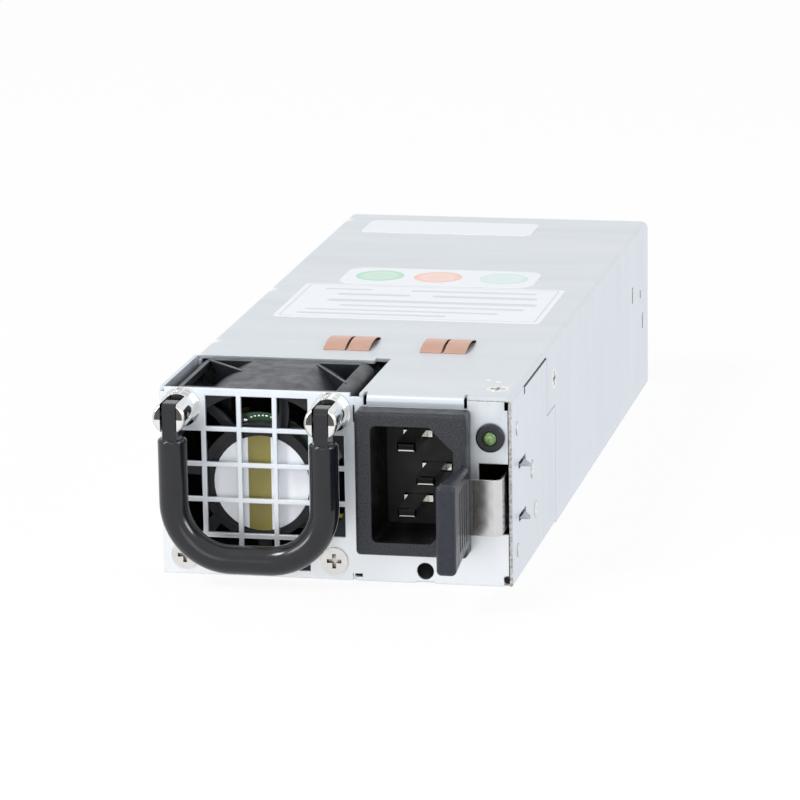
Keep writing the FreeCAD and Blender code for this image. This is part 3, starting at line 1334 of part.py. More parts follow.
def make_latch():
    body = new_body("LatchSpring")
    outline = sketch_on(body, "SpringPath", "XY_Plane", "strip_low")
    leg_left = "leg_x - strip_thick/2"
    leg_right = "leg_x + strip_thick/2"
    front = "-strip_setback"
    tail = "latch_pivot_y + leaf_tail"
    polygon(outline, [
        (leg_left, front + " - leg_length"), (leg_right, front + " - leg_length"),
        (leg_right, front), (LEAF_OUT, front), (LEAF_OUT, tail), (LEAF_IN, tail),
        (LEAF_IN, STRIP_REAR), (leg_left, STRIP_REAR)])
    pad(body, "SpringStrip", outline, "strip_high - strip_low")
    round_edges(body, "SpringOuterBend", "strip_bend",
                lambda edge, middle: near(middle.x, number(LEAF_OUT)) and near(middle.y, number(front)))
    round_edges(body, "SpringInnerBend", "strip_bend - strip_thick",
                lambda edge, middle: near(middle.x, number(LEAF_IN)) and near(middle.y, number(STRIP_REAR)))
    teeth = []
    for level in ("0", "strip_high - strip_thick - strip_low"):
        drawing = sketch_on(body, "ToothOutline", "XY_Plane", "strip_low + " + level)
        polygon(drawing, [
            (LEAF_IN, "tooth_front"), (RIGHT + " + tooth_reach", "tooth_front"),
            (RIGHT + " + tooth_reach", "tooth_front + 0.8"), (LEAF_OUT, "tooth_rear + 0.6"),
            (LEAF_IN, "tooth_rear + 0.6")])
        teeth.append(pad(body, "Tooth", drawing, "strip_thick"))
    holes = sketch_on(body, "StudHoles", "YZ_Plane", RIGHT)
    for level in stud_levels():
        disc(holes, "latch_pivot_y", level, "stud_hole/2")
    pocket(body, "StudClearance", holes, "4*skin + strip_gap")
    node(body, "latch_spring")
    studs = []
    for level in stud_levels():
        shank = rod("StudShank", "x", ("latch_pivot_y", level), "stud_diameter/2",
                    (LEAF_IN + " - strip_gap", INNER))
        head = rod("StudHead", "x", ("latch_pivot_y", level), "stud_head/2",
                   (LEAF_IN + " - strip_gap - 1", LEAF_IN + " - strip_gap"))
        studs.append(fuse("Stud", shank, head))
    node(gather("LatchStuds", studs), "latch_studs")


def stud_levels():
    return ("strip_low + (strip_high - strip_low)*0.25", "strip_low + (strip_high - strip_low)*0.75")


def make_grip():
    body = new_body("Grip")
    root = sketch_on(body, "GripRoot", "XZ_Plane", "strip_setback")
    rectangle(root, ("leg_x - grip_root_thick/2", "leg_x + grip_root_thick/2"),
              ("grip_root_low", "grip_root_high"))
    tip = sketch_on(body, "GripTip", "XZ_Plane", "strip_setback + grip_length")
    rectangle(tip, ("grip_tip_x - grip_tip_thick/2", "grip_tip_x + grip_tip_thick/2"),
              ("grip_tip_low", "grip_tip_high"))
    doc.recompute()
    loft = body.newObject("PartDesign::AdditiveLoft", "GripLoft")
    loft.Profile = root
    loft.Sections = [tip]
    loft.Ruled = True
    root.Visibility = False
    tip.Visibility = False
    doc.recompute()
    end = number("-strip_setback - grip_length")
    root_y = number("-strip_setback")
    round_edges(body, "GripRounded", "grip_round",
                lambda edge, middle: abs(middle.y - root_y) > 0.01)
    slot = block("GripSlot", ("leg_x - strip_thick/2", "leg_x + strip_thick/2"),
                 ("-strip_setback - leg_length", "0"), ("strip_low", "strip_high"))
    grooves = []
    for side in (-1, 1):
        for step in range(int(number("groove_count"))):
            middle_y = "-strip_setback - groove_start - %d*groove_pitch" % step
            share = "((groove_start + %d*groove_pitch)/grip_length)" % step
            half = "(grip_root_thick/2 + (grip_tip_thick - grip_root_thick)/2*%s)" % share
            face_x = "leg_x + (grip_tip_x - leg_x)*%s + (%d)*%s" % (share, side, half)
            low = "(grip_root_low + grip_root_high)/2 - groove_height/2"
            grooves.append(rod("Groove", "z", (face_x, middle_y), "groove_width/2",
                               (low, low + " + groove_height")))
    node(cut("GripCut", body, slot, *grooves), "latch_grip")


def make_contact_springs():
    """Two sprung fingers side by side on each clip, arched above the cover."""
    thick = number("clip_thick")
    rise = number("clip_rise")
    length = number("clip_length")
    start = number("clip_y")
    base = number("case_height")
    clips = []
    for middle in ("clip_left_x", "clip_right_x"):
        for side in (-1, 1):
            inner = number("%s + (%d)*clip_split/2" % (middle, side))
            outer = number("%s + (%d)*clip_width/2" % (middle, side))
            edges = []
            profile = []
            for lift in (0, thick):
                low = base + lift
                profile.append([FreeCAD.Vector(min(inner, outer), start, low),
                                FreeCAD.Vector(min(inner, outer), start + length * 0.45, low + rise),
                                FreeCAD.Vector(min(inner, outer), start + length, low)])
            edges.append(Part.Arc(*profile[0]).toShape())
            edges.append(Part.makeLine(profile[0][2], profile[1][2]))
            edges.append(Part.Arc(*profile[1]).toShape())
            edges.append(Part.makeLine(profile[1][0], profile[0][0]))
            face = Part.Face(Part.Wire(Part.__sortEdges__(edges)))
            clips.append(from_shape("ContactFinger",
                                    face.extrude(FreeCAD.Vector(abs(outer - inner), 0, 0))))
    node(gather("ContactSprings", clips), "contact_springs")


# ---- inside ----

def standoff_places():
    return [("(%d)*standoff_x" % side, end) for side in (-1, 1)
            for end in ("standoff_front", "standoff_rear")]


def make_board():
    across = ("-board_edge", "board_edge")
    blank = block("BoardBlank", across, ("board_front", "board_rear"), (BOARD_LOW, BOARD_TOP))
    holes = [rod("BoardHole", "z", spot, "small_shank/2 + shaft_fit",
                 (BOARD_LOW + " - 1", BOARD_TOP + " + 1")) for spot in standoff_places()]
    node(cut("MainBoard", blank, *holes), "main_board")
    film = block("FilmBlank", across, ("board_front + 1", "board_rear - 1"),
                 ("skin", "skin + film_thick"))
    film_holes = [rod("FilmHole", "z", spot, "standoff_diameter/2 + running_gap", ("skin - 1", BOARD_LOW))
                  for spot in standoff_places()]
    node(cut("InsulationFilm", film, *film_holes), "insulation_film")
    standoffs = []
    screws = []
    for spot in standoff_places():
        post = rod("StandoffPost", "z", spot, "standoff_diameter/2", ("skin", BOARD_LOW))
        bore = rod("StandoffBore", "z", spot, "small_shank/2", ("skin + 0.4", BOARD_LOW + " + 1"))
        standoffs.append(cut("Standoff", post, bore))
        shank = rod("BoardScrewShank", "z", spot, "small_shank/2", (BOARD_LOW + " - 1.5", BOARD_TOP))
        head = rod("BoardScrewHead", "z", spot, "small_head/2", (BOARD_TOP, BOARD_TOP + " + 1.4"))
        screws.append(fuse("BoardScrew", shank, head))
    node(gather("Standoffs", standoffs), "board_standoffs")
    node(gather("BoardScrews", screws), "board_screws")


def on_board(name, middle_x, start_y, width, length, height, lift="0"):
    """A box that stands on the main board."""
    floor = BOARD_TOP + " + " + lift
    return block(name, ("(%s) - (%s)/2" % (middle_x, width), "(%s) + (%s)/2" % (middle_x, width)),
                 (start_y, "(%s) + (%s)" % (start_y, length)), (floor, floor + " + " + height))


def choke(label, spot, ring_size, section, turn):
    """A wound ring standing in a saddle."""
    level = BOARD_TOP + " + 0.8 + %s/2 + %s/2" % (ring_size, section)
    toroid = ring("ChokeRing", spot + (level,), ring_size + "/2", section + "/2", turn)
    node(toroid, label)
    saddle = on_board("ChokeSaddle", spot[0], "%s - %s/2" % (spot[1], section), section, section, "3")
    node(cut("ChokeSeat", saddle, toroid), label + "_saddle")


def make_entry_parts():
    clip_height = "fuse_diameter/2"
    half = "fuse_length/2"
    axis_z = BOARD_TOP + " + fuse_diameter/2 + 1"
    tube = rod("FuseTube", "x", ("fuse_y", axis_z), "fuse_diameter/2 - 0.2",
               ("fuse_x - %s" % half, "fuse_x + %s" % half))
    caps = []
    for low, high in (("fuse_x - %s" % half, "fuse_x - %s + fuse_cap" % half),
                      ("fuse_x + %s - fuse_cap" % half, "fuse_x + %s" % half)):
        cap = rod("FuseCap", "x", ("fuse_y", axis_z), "fuse_diameter/2", (low, high))
        foot = block("FuseFoot", (low, high), ("fuse_y - 1.5", "fuse_y + 1.5"), (BOARD_TOP, axis_z))
        caps.append(fuse("FuseEnd", cap, foot))
    node(fuse("Fuse", tube, *caps), "fuse")
    node(soften("XCapacitor", on_board("XCapBox", "xcap_x", "xcap_y - xcap_width/2", "xcap_length",
                                       "xcap_width", "xcap_height"),
                "0.8", lambda edge, middle: middle.z > number(BOARD_TOP) + 1), "x_capacitor")
    choke("filter_choke", ("filter_x", "filter_y"), "filter_ring", "filter_section",
          FreeCAD.Rotation(FreeCAD.Vector(1, 0, 0), 90))
    node(on_board("BridgeRectifier", "bridge_x", "bridge_y", "bridge_width", "bridge_thick",
                  "bridge_height"), "bridge_rectifier")


def make_power_parts():
    axis_z = BOARD_TOP + " + bulk_diameter/2"
    can = rod("BulkCan", "y", ("bulk_x", axis_z), "bulk_diameter/2", ("bulk_y", "bulk_y + bulk_length"))
    node(soften("BulkCapacitor", can, "can_round", lambda edge, middle: len(edge.Vertexes) == 1),
         "bulk_capacitor")
    web = block("SinkWeb", ("sink_x", "sink_x + sink_thick"), ("sink_y", "sink_y + sink_length"),
                (BOARD_TOP, BOARD_TOP + " + sink_height"))
    fins = []
    for step in range(4):
        level = BOARD_TOP + " + sink_height - sink_thick/2 - %d*sink_fin*1.3" % step
        fins.append(block("SinkFin", ("sink_x", "sink_x + sink_thick + sink_fin"),
                          ("sink_y", "sink_y + sink_length"), (level + " - 0.6", level + " + 0.6")))
    node(fuse("PrimarySink", web, *fins), "primary_heatsink")
    devices = []
    for step in range(3):
        start = "sink_y + 4 + %d*(device_width + 5)" % step
        devices.append(block("PowerDevice", ("sink_x - device_thick", "sink_x"),
                             (start, start + " + device_width"),
                             (BOARD_TOP + " + 4", BOARD_TOP + " + 4 + device_height")))
        devices.append(block("DeviceLegs", ("sink_x - device_thick/2", "sink_x - device_thick/2 + 0.6"),
                             (start + " + 1.5", start + " + device_width - 1.5"),
                             (BOARD_TOP, BOARD_TOP + " + 4")))
    joined = [fuse("Device", devices[index], devices[index + 1]) for index in range(0, 6, 2)]
    node(gather("PowerDevices", joined), "power_transistors")
    choke("boost_choke", ("boost_x", "boost_y"), "boost_ring", "boost_section",
          FreeCAD.Rotation(FreeCAD.Vector(0, 1, 0), 90))


def make_transformer():
    low = BOARD_TOP + " + 1"
    high = BOARD_TOP + " + former_height"
    left = "former_x - former_width/2"
    right = "former_x + former_width/2"
    outer = block("CoreBlock", (left, right), ("former_y", "former_y + former_length"), (low, high))
    window_left = block("CoreWindowLeft", (left + " + former_leg", "former_x - former_post/2"),
                        ("former_y - 1", "former_y + former_length + 1"),
                        (low + " + former_leg", high + " - former_leg"))
    window_right = block("CoreWindowRight", ("former_x + former_post/2", right + " - former_leg"),
                         ("former_y - 1", "former_y + former_length + 1"),
                         (low + " + former_leg", high + " - former_leg"))
    node(cut("TransformerCore", outer, window_left, window_right), "transformer_core")
    coil = block("CoilOuter", (left + " + former_leg + coil_gap", right + " - former_leg - coil_gap"),
                 ("former_y - 4", "former_y + former_length + 4"),
                 (low + " + former_leg + coil_gap", high + " - former_leg - coil_gap"))
    post = block("CoilBore", ("former_x - former_post/2", "former_x + former_post/2"),
                 ("former_y", "former_y + former_length"), (low, high))
    node(cut("TransformerCoil", coil, post), "transformer_winding")
    feet = [on_board("TransformerFoot", "former_x", start, "former_width - 4", "3", "1")
            for start in ("former_y + 1", "former_y + former_length - 4")]
    node(gather("TransformerFeet", feet), "transformer_feet")


def make_output_parts():
    card = block("CardBlank", ("card_x", "card_x + card_thick"), ("card_y", "card_y + card_length"),
                 (BOARD_TOP, BOARD_TOP + " + card_height"))
    chips = []
    for index in range(3):
        start = "card_y + chip_start + %d*chip_pitch" % index
        chips.append(block("CardChip", ("card_x + card_thick", "card_x + card_thick + chip_thick"),
                           (start, start + " + chip_length"),
                           (BOARD_TOP + " + chip_rise", BOARD_TOP + " + chip_rise + chip_height")))
    node(card, "control_card")
    node(gather("CardChips", chips), "control_chips")
    cans = []
    for index in range(int(number("outcap_count"))):
        can = rod("OutputCan", "z", ("outcap_x + %d*outcap_pitch" % index, "outcap_y"),
                  "outcap_diameter/2", (BOARD_TOP, BOARD_TOP + " + outcap_height"))
        cans.append(soften("OutputCapacitor", can, "0.6",
                           lambda edge, middle: near(middle.z, number(BOARD_TOP + " + outcap_height"))))
    node(gather("OutputCapacitors", cans), "output_capacitors")


def make_output_plug():
    left = "plug_x - plug_width/2"
    right = "plug_x + plug_width/2"
    low = BOARD_TOP + " + plug_rise"
    high = BOARD_TOP + " + plug_height"
    rear = "case_length + plug_reach"
    shell = block("PlugBlock", (left, right), (rear + " - plug_depth", rear), (low, high))
    rounded = soften("PlugRounded", shell, "0.8",
                     lambda edge, middle: near(middle.y, number(rear)))
    mouth = block("PlugMouth", (left + " + plug_wall", right + " - plug_wall"),
                  ("case_length + 0.5", rear + " + 1"), (low + " + plug_wall", high + " - plug_wall"))
    contacts = []
    slots = []
    count = int(number("contact_count"))
    middle_z = "(%s + %s)/2" % (low, high)
    for index in range(count):
        middle_x = "plug_x + (%g)*contact_pitch" % (index - (count - 1) / 2)
        across = (middle_x + " - contact_width/2", middle_x + " + contact_width/2")
        upright = (middle_z + " - contact_thick/2", middle_z + " + contact_thick/2")
        contacts.append(block("Contact", across, (rear + " - plug_depth", rear + " - 1.5"), upright))
        slots.append(block("ContactSlot", across, (rear + " - plug_depth - 1", rear + " + 1"), upright))
    node(cut("OutputPlug", rounded, mouth, *slots), "output_plug")
    node(gather("OutputContacts", contacts), "output_contacts")


def check_document():
    for item in doc.Objects:
        if {"Invalid", "Error"} & set(item.State):
            raise RuntimeError("%s is %s" % (item.Name, item.State))
    labels = set()
    for feature in NODES:
        shape = feature.Shape
        if shape.isNull() or not shape.isValid() or not shape.Solids:
            raise RuntimeError(feature.Label + " has no valid solid")
        if feature.Label in labels:
            raise RuntimeError(feature.Label + " is there twice")
        labels.add(feature.Label)


make_front_panel()
make_chassis()
make_cover()
make_rear_panel()
make_fan_frame()
make_fan_inside()
make_fan_rotor()
make_fan_screws()
make_case_fixings()
make_ferrules()
make_handle()
make_inlet()
make_inlet_blades()
make_leads()
make_indicator()
make_latch()
make_grip()
make_contact_springs()
make_board()
make_entry_parts()
make_power_parts()
make_transformer()
make_output_parts()
make_output_plug()
doc.recompute()
check_document()
os.makedirs("parts", exist_ok=True)
for feature in NODES:
    feature.Shape.exportStep("parts/%s.step" % feature.Label)
print(len(NODES), "nodes written")
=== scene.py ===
import math
import bmesh
import bpy
from mathutils import Matrix, Vector


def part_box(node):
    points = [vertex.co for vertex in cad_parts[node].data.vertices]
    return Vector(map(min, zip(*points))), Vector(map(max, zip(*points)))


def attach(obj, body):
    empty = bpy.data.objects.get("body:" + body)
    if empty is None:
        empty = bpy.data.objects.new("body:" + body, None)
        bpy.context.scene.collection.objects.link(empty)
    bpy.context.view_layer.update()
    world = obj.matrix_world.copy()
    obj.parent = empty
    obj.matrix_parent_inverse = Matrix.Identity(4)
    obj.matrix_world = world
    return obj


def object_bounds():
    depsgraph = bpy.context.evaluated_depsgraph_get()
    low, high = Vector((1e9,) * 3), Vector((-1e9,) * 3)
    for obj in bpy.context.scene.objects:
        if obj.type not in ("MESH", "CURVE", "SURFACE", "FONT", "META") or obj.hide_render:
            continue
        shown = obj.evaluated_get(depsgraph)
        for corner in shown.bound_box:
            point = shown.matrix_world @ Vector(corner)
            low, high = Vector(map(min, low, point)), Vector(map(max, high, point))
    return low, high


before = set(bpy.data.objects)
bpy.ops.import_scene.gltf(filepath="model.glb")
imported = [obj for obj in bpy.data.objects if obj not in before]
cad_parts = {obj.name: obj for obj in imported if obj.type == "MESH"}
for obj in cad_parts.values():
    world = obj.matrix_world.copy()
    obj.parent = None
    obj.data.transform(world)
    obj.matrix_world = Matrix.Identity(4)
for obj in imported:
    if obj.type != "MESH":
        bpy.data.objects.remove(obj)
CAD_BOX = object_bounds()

MM = 0.001  # in metres
HOUSING = "housing"


def middle(box):
    """The middle of a box as x and z in millimetres."""
    low, high = box
    return (low.x + high.x) / 2 / MM, (low.z + high.z) / 2 / MM


FAN_X, FAN_Z = middle(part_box("fan_shaft"))
BOARD_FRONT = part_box("fan_driver_board")[0].y / MM
LAMP_X, LAMP_Z = middle(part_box("led_lamp"))
LAMP_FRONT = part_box("led_lamp")[0].y / MM


# ---- materials ----

class Surface:
    """A material made of one Principled shader and masks in object space.

    Places, radii and widths are in millimetres, and a noise's scale is per metre.
    """

    def __init__(self, name, color, metallic=0.0, roughness=0.5, **sockets):
        self.material = bpy.data.materials.new(name)
        self.material.use_nodes = True
        self.tree = self.material.node_tree
        self.shader = self.tree.nodes["Principled BSDF"]
        self.color = color
        self.paint = None
        self.normal = None
        self.set("Base Color", (*color, 1))
        self.set("Metallic", metallic)
        self.set("Roughness", roughness)
        for socket, value in sockets.items():
            self.set(socket.replace("_", " "), value)
        self.where = self.add("ShaderNodeTexCoord")

    def set(self, socket, value):
        self.shader.inputs[socket].default_value = value

    def add(self, kind, **values):
        node = self.tree.nodes.new(kind)
        for key, value in values.items():
            setattr(node, key, value)
        return node

    def link(self, start, end):
        self.tree.links.new(start, end)

    def math(self, operation, first, second=0):
        """A sum on one or two terms, each of them a number or an output."""
        node = self.add("ShaderNodeMath", operation=operation)
        for socket, term in zip(node.inputs, (first, second)):
            if isinstance(term, (int, float)):
                socket.default_value = term
            else:
                self.link(term, socket)
        return node.outputs[0]

    def both(self, first, second):
        """The part that two masks share."""
        return self.math("MULTIPLY", first, second)

    def less(self, first, second):
        """The part of the first mask that lies outside the second."""
        return self.math("SUBTRACT", first, second)

    def noise(self, scale, stretch=(1, 1, 1), detail=3.0):
        mapping = self.add("ShaderNodeMapping")
        mapping.inputs["Scale"].default_value = stretch
        self.link(self.where.outputs["Object"], mapping.inputs["Vector"])
        noise = self.add("ShaderNodeTexNoise")
        noise.inputs["Scale"].default_value = scale
        noise.inputs["Detail"].default_value = detail
        self.link(mapping.outputs["Vector"], noise.inputs["Vector"])
        return noise.outputs["Fac"]

    def ranged(self, value, low, high, start=0.35, end=0.65):
        """Pass smoothly from low to high while the value passes from start to end."""
        remap = self.add("ShaderNodeMapRange", interpolation_type="SMOOTHSTEP")
        for socket, number in (("From Min", start), ("From Max", end),
                               ("To Min", low), ("To Max", high)):
            remap.inputs[socket].default_value = number
        self.link(value, remap.inputs["Value"])
        return remap.outputs["Result"]

    def part_of(self, output, axis):
        """One axis of the object's place or normal."""
        split = self.add("ShaderNodeSeparateXYZ")
        self.link(self.where.outputs[output], split.inputs["Vector"])
        return split.outputs[axis]

    def fade(self, axis, start, end, low=0, high=1):
        """Pass from low to high between two levels."""
        return self.ranged(self.part_of("Object", axis), low, high, start * MM, end * MM)

    def above(self, axis, level, soft=0.2):
        """A mask of the points beyond a level."""
        return self.fade(axis, level - soft, level + soft)

    def facing_front(self, start, end):
        """A mask of what faces the front, full at one value of the normal's Y, gone at another."""
        return self.ranged(self.part_of("Normal", "Y"), 1, 0, start, end)

    def near(self, point, radius, soft):
        """A mask of the points within a radius of a point."""
        gap = self.add("ShaderNodeVectorMath", operation="DISTANCE")
        self.link(self.where.outputs["Object"], gap.inputs[0])
        gap.inputs[1].default_value = Vector(point) * MM
        return self.ranged(gap.outputs["Value"], 1, 0, (radius - soft) * MM, (radius + soft) * MM)

    def recess_shade(self, reach, start=0.35, end=0.8):
        """A mask for painted shade in recesses, seams and inner corners, taken from ambient
        occlusion, full and gone at two shares of openness.
        """
        hidden = self.add("ShaderNodeAmbientOcclusion", samples=8)
        hidden.inputs["Distance"].default_value = reach * MM
        return self.ranged(hidden.outputs["AO"], 1, 0, start, end)

    def tint(self, mask, color):
        """Lay another colour over the surface where the mask is 1."""
        mix = self.add("ShaderNodeMix", data_type="RGBA")
        self.link(mask, mix.inputs["Factor"])
        # of the node's sockets, 6, 7 and output 2 are the ones for colour
        under, over, result = mix.inputs[6], mix.inputs[7], mix.outputs[2]
        under.default_value = (*self.color, 1)
        over.default_value = (*color, 1)
        if self.paint:
            self.link(self.paint, under)
        self.paint = result
        self.link(result, self.shader.inputs["Base Color"])
        return self

    def blotches(self, value, amount):
        """Vary the colour about itself."""
        paler = tuple(min(1, part * (1 + amount)) for part in self.color)
        darker = tuple(part * (1 - amount) for part in self.color)
        self.tint(self.ranged(value, 0, 1, 0.5, 0.7), paler)
        return self.tint(self.ranged(value, 1, 0, 0.3, 0.5), darker)

    def uneven_gloss(self, value, low, high):
        self.link(self.ranged(value, low, high), self.shader.inputs["Roughness"])
        return self

    def bump(self, value, depth, strength=0.5):
        bump = self.add("ShaderNodeBump")
        bump.inputs["Distance"].default_value = depth * MM
        bump.inputs["Strength"].default_value = strength
        self.link(value, bump.inputs["Height"])
        if self.normal:
            self.link(self.normal, bump.inputs["Normal"])
        self.normal = bump.outputs["Normal"]
        self.link(self.normal, self.shader.inputs["Normal"])
        return self

    def soft_edges(self, radius):
        """Catch light on edges as a worn or rolled-over edge does."""
        bevel = self.add("ShaderNodeBevel", samples=4)
        bevel.inputs["Radius"].default_value = radius * MM
        self.normal = bevel.outputs["Normal"]
        self.link(self.normal, self.shader.inputs["Normal"])
        return self


# the colour of the case walls; on the cover it is painted onto the side faces as painted light
WALL_STEEL = (0.695, 0.738, 0.795)
# painted shadow: near-black laid on surfaces seen through corner notches
NOTCH_SHADOW_BLACK = (0.012, 0.012, 0.013)
BLACK_PLASTIC_GLOSS = 0.3
COVER_SPLIT = 28.3  # where the cover's lip ends and its cut front edge starts


def sheet_steel(name, rolled, color=(0.655, 0.692, 0.725), edge=0.18):
    """Galvanised sheet with faint blotches along its rolling, and painted shade in its seams and
    recesses above the floor.
    """
    surface = Surface(name, color, metallic=0.75, roughness=0.42)
    surface.soft_edges(edge)
    surface.blotches(surface.noise(55, rolled, detail=4), 0.03)
    surface.uneven_gloss(surface.noise(60, rolled, detail=4), 0.36, 0.46)
    surface.bump(surface.noise(900, rolled, detail=4), 0.02, 0.25)
    # painted shade in seams and recesses, from ambient occlusion
    shadow = surface.both(surface.recess_shade(0.7), surface.above("Z", 1.2, 0.6))
    return surface.tint(shadow, (0.10, 0.105, 0.115))


def moulded(name, color, roughness=0.45, grain=1600, depth=0.03, edge=0.15, speckle=0.12,
            **sockets):
    """Plastic, rubber, resin or ceramic with a fine grain."""
    surface = Surface(name, color, roughness=roughness, **sockets)
    surface.soft_edges(edge)
    surface.blotches(surface.noise(grain / 2, detail=4), speckle)
    surface.uneven_gloss(surface.noise(350), roughness * 0.85, roughness * 1.15)
    return surface.bump(surface.noise(grain, detail=2), depth, 0.35)


def black(name, color, roughness=0.45, **sockets):
    """Dark plastic, which reflects less than a clear one."""
    return moulded(name, color, roughness, Specular_IOR_Level=BLACK_PLASTIC_GLOSS, **sockets)


def plated(name, color, roughness=0.12, spread=0.05, reach=0.5, clear=0.7):
    """Plated or bare metal with painted shade in its recesses: none is darkened beyond the
    openness given as clear."""
    surface = Surface(name, color, metallic=1.0, roughness=roughness)
    surface.soft_edges(0.12)
    surface.blotches(surface.noise(300, detail=4), 0.05)
    surface.uneven_gloss(surface.noise(500, detail=4), roughness, roughness + spread)
    surface.bump(surface.noise(700), 0.01, 0.15)
    # painted shade: a darker copy of the colour, laid in the recesses
    recess_shade_color = tuple(part * tone for part, tone in zip(color, (0.16, 0.14, 0.12)))
    return surface.tint(surface.recess_shade(reach, 0.2, clear), recess_shade_color)


def raw_edge(surface, strip):
    """Brown the cut edge that faces the front, within a mask."""
    front = surface.facing_front(-0.9, -0.6)
    grains = surface.ranged(surface.noise(1500, detail=4), 0.3, 1)
    return surface.tint(surface.both(surface.both(front, strip), grains), (0.34, 0.305, 0.28))


def case_walls():
    """The folded case: a brown front edge, and on its right wall grey marks near the floor, two
    dimples with a painted highlight in a ring of painted shade, and painted shadow in a notch in
    the lower front corner."""
    right_wall = 37.2
    surface = sheet_steel("galvanised_sheet", (0.3, 2.0, 0.3), WALL_STEEL)
    raw_edge(surface, surface.less(surface.above("X", 30), surface.above("X", 37.12, 0.1)))
    for y, z in ((73.4, 1.8), (163.3, 2.3)):
        surface.tint(surface.near((right_wall, y, z), 1.3, 0.7), (0.42, 0.44, 0.47))
    # painted highlights on the two dimples: a ring of painted shade around a white painted glint,
    # broken up by noise
    glint_sparkle = surface.ranged(surface.noise(1300, detail=4), 0.1, 1, 0.45, 0.6)
    for y, z in ((22.6, 19.4), (26.2, 9.7)):
        for radius, color in ((2.1, (0.24, 0.25, 0.26)), (1.5, (0.97, 0.98, 0.99))):
            spot = surface.near((right_wall, y, z), radius, 0.25)
            surface.tint(surface.both(spot, glint_sparkle), color)
    # painted shadow in the notch of the lower front corner
    return surface.tint(surface.near((36.0, 1.0, 1.4), 1.1, 0.2), NOTCH_SHADOW_BLACK)


def front_sheet():
    """The front panel: streaked from side to side, paler at the grille, with painted light below
    the lamp and painted floor-bounce light towards the bottom, and painted shadow in a notch in
    its lower right corner."""
    surface = sheet_steel("galvanised_panel", (1.2, 0.3, 0.5), (0.70, 0.74, 0.775), edge=0.3)
    streaks = surface.ranged(surface.noise(240, (1.3, 1, 0.4), detail=6), 0, 0.8)
    painted_light_under_lamp = surface.near((LAMP_X + 0.5, 0, LAMP_Z - 5), 3.5, 2.5)
    surface.tint(streaks, (0.57, 0.62, 0.675))
    surface.tint(surface.fade("X", -2, 12, 0.7, 0), (0.80, 0.855, 0.915))
    # painted light below the lamp
    surface.tint(painted_light_under_lamp, (0.86, 0.90, 0.94))
    # painted floor-bounce light, paler towards the bottom
    surface.tint(surface.fade("Z", 6, 34, 0.95, 0), (0.81, 0.84, 0.87))
    # painted shadow in the notch of the lower right corner
    return surface.tint(surface.near((36.0, 0.2, 1.5), 0.8, 0.2), NOTCH_SHADOW_BLACK)


def cover_sheet():
    """The cover: its side faces are painted paler as painted light and the front face of its lip
    darker as painted shade, its right front edge is brown, and it has painted highlights at the
    darts of its left bend and at two dents beside a screw."""
    surface = sheet_steel("galvanised_cover", (0.3, 2.0, 0.3))
    sideways = surface.math("ABSOLUTE", surface.part_of("Normal", "X"))
    # painted light: the side faces take the paler wall colour
    surface.tint(surface.ranged(sideways, 0, 1, 0.5, 0.9), WALL_STEEL)
    right = surface.above("X", COVER_SPLIT, 0.1)
    raw_edge(surface, surface.less(right, surface.above("Z", 39.45, 0.1)))
    # painted shade on the front face of the lip
    lip = surface.both(surface.facing_front(-0.9, -0.2), surface.less(1, right))
    surface.tint(lip, (0.56, 0.60, 0.64))
    # painted highlights at the darts of the left bend and at two dents beside a screw
    darts = [((-37.0, y, 39.8), 1.8) for y in (43.2, 96.6, 177.9)]
    dents = [((x, y, 40), 0.5) for x, y in ((29.5, 15.3), (31.8, 14.2))]
    for place, radius in darts + dents:
        surface.tint(surface.near(place, radius, radius * 0.6), (0.92, 0.93, 0.94))
    return surface


def lead_colours():
    """Three wires in one node: yellow, black and red from the top down, which drop outwards."""
    surface = moulded("lead_colours", (0.015, 0.015, 0.016), 0.35)
    exit_x, outside = (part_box("fan_leads")[corner].x / MM for corner in (0, 1))
    drop = surface.fade("X", exit_x, outside - 0.5, 0, 1.6 * MM)
    level = surface.math("ADD", surface.part_of("Object", "Z"), drop)
    for seam, below, beyond, color in ((12.65, 0, 1, (0.50, 0.46, 0.03)),
                                       (11.35, 1, 0, (0.30, 0.012, 0.010))):
        wire = surface.ranged(level, below, beyond, (seam - 0.03) * MM, (seam + 0.03) * MM)
        surface.tint(wire, color)
    return surface


def fan_moulding():
    """Black glass-filled plastic, paler on what faces up, as dust and painted sheen."""
    surface = black("fan_moulding", (0.012, 0.013, 0.016), 0.42, depth=0.04)
    # dust and painted sheen on faces that look up
    up = surface.ranged(surface.part_of("Normal", "Z"), 0, 1, 0.55, 0.95)
    dust_and_sheen = surface.ranged(surface.noise(130, detail=5), 0.45, 1)
    return surface.tint(surface.both(up, dust_and_sheen), (0.070, 0.077, 0.088))


def inlet_moulding():
    """Spark-eroded black plastic that is in its own shadow inside the recess."""
    surface = black("inlet_moulding", (0.030, 0.032, 0.038), 0.4, grain=5600, depth=0.05,
                    edge=0.3, speckle=0.6)
    recess = surface.above("Y", -4.6, 0.35)
    for axis, low, high in (("X", 7.2, 26.3), ("Z", 8.7, 35.7)):
        inside = surface.less(surface.above(axis, low), surface.above(axis, high))
        recess = surface.both(recess, inside)
    # painted shade inside the recess
    surface.tint(recess, (0.006, 0.006, 0.007))
    # painted shade, less deep, on the front faces far inside
    floor = surface.both(surface.facing_front(-0.95, -0.8), surface.above("Y", 4))
    return surface.tint(floor, (0.020, 0.020, 0.0225))


def driver_board():
    """Solder resist painted dark as shade, and green as painted light at the board's upper rim."""
    surface = moulded("fan_board_resist", (0.003, 0.012, 0.006), 0.25)
    # painted light on the board's upper rim
    lit = surface.near((FAN_X, BOARD_FRONT, FAN_Z + 15.2), 3.4, 0.8)
    return surface.tint(lit, (0.012, 0.075, 0.022))


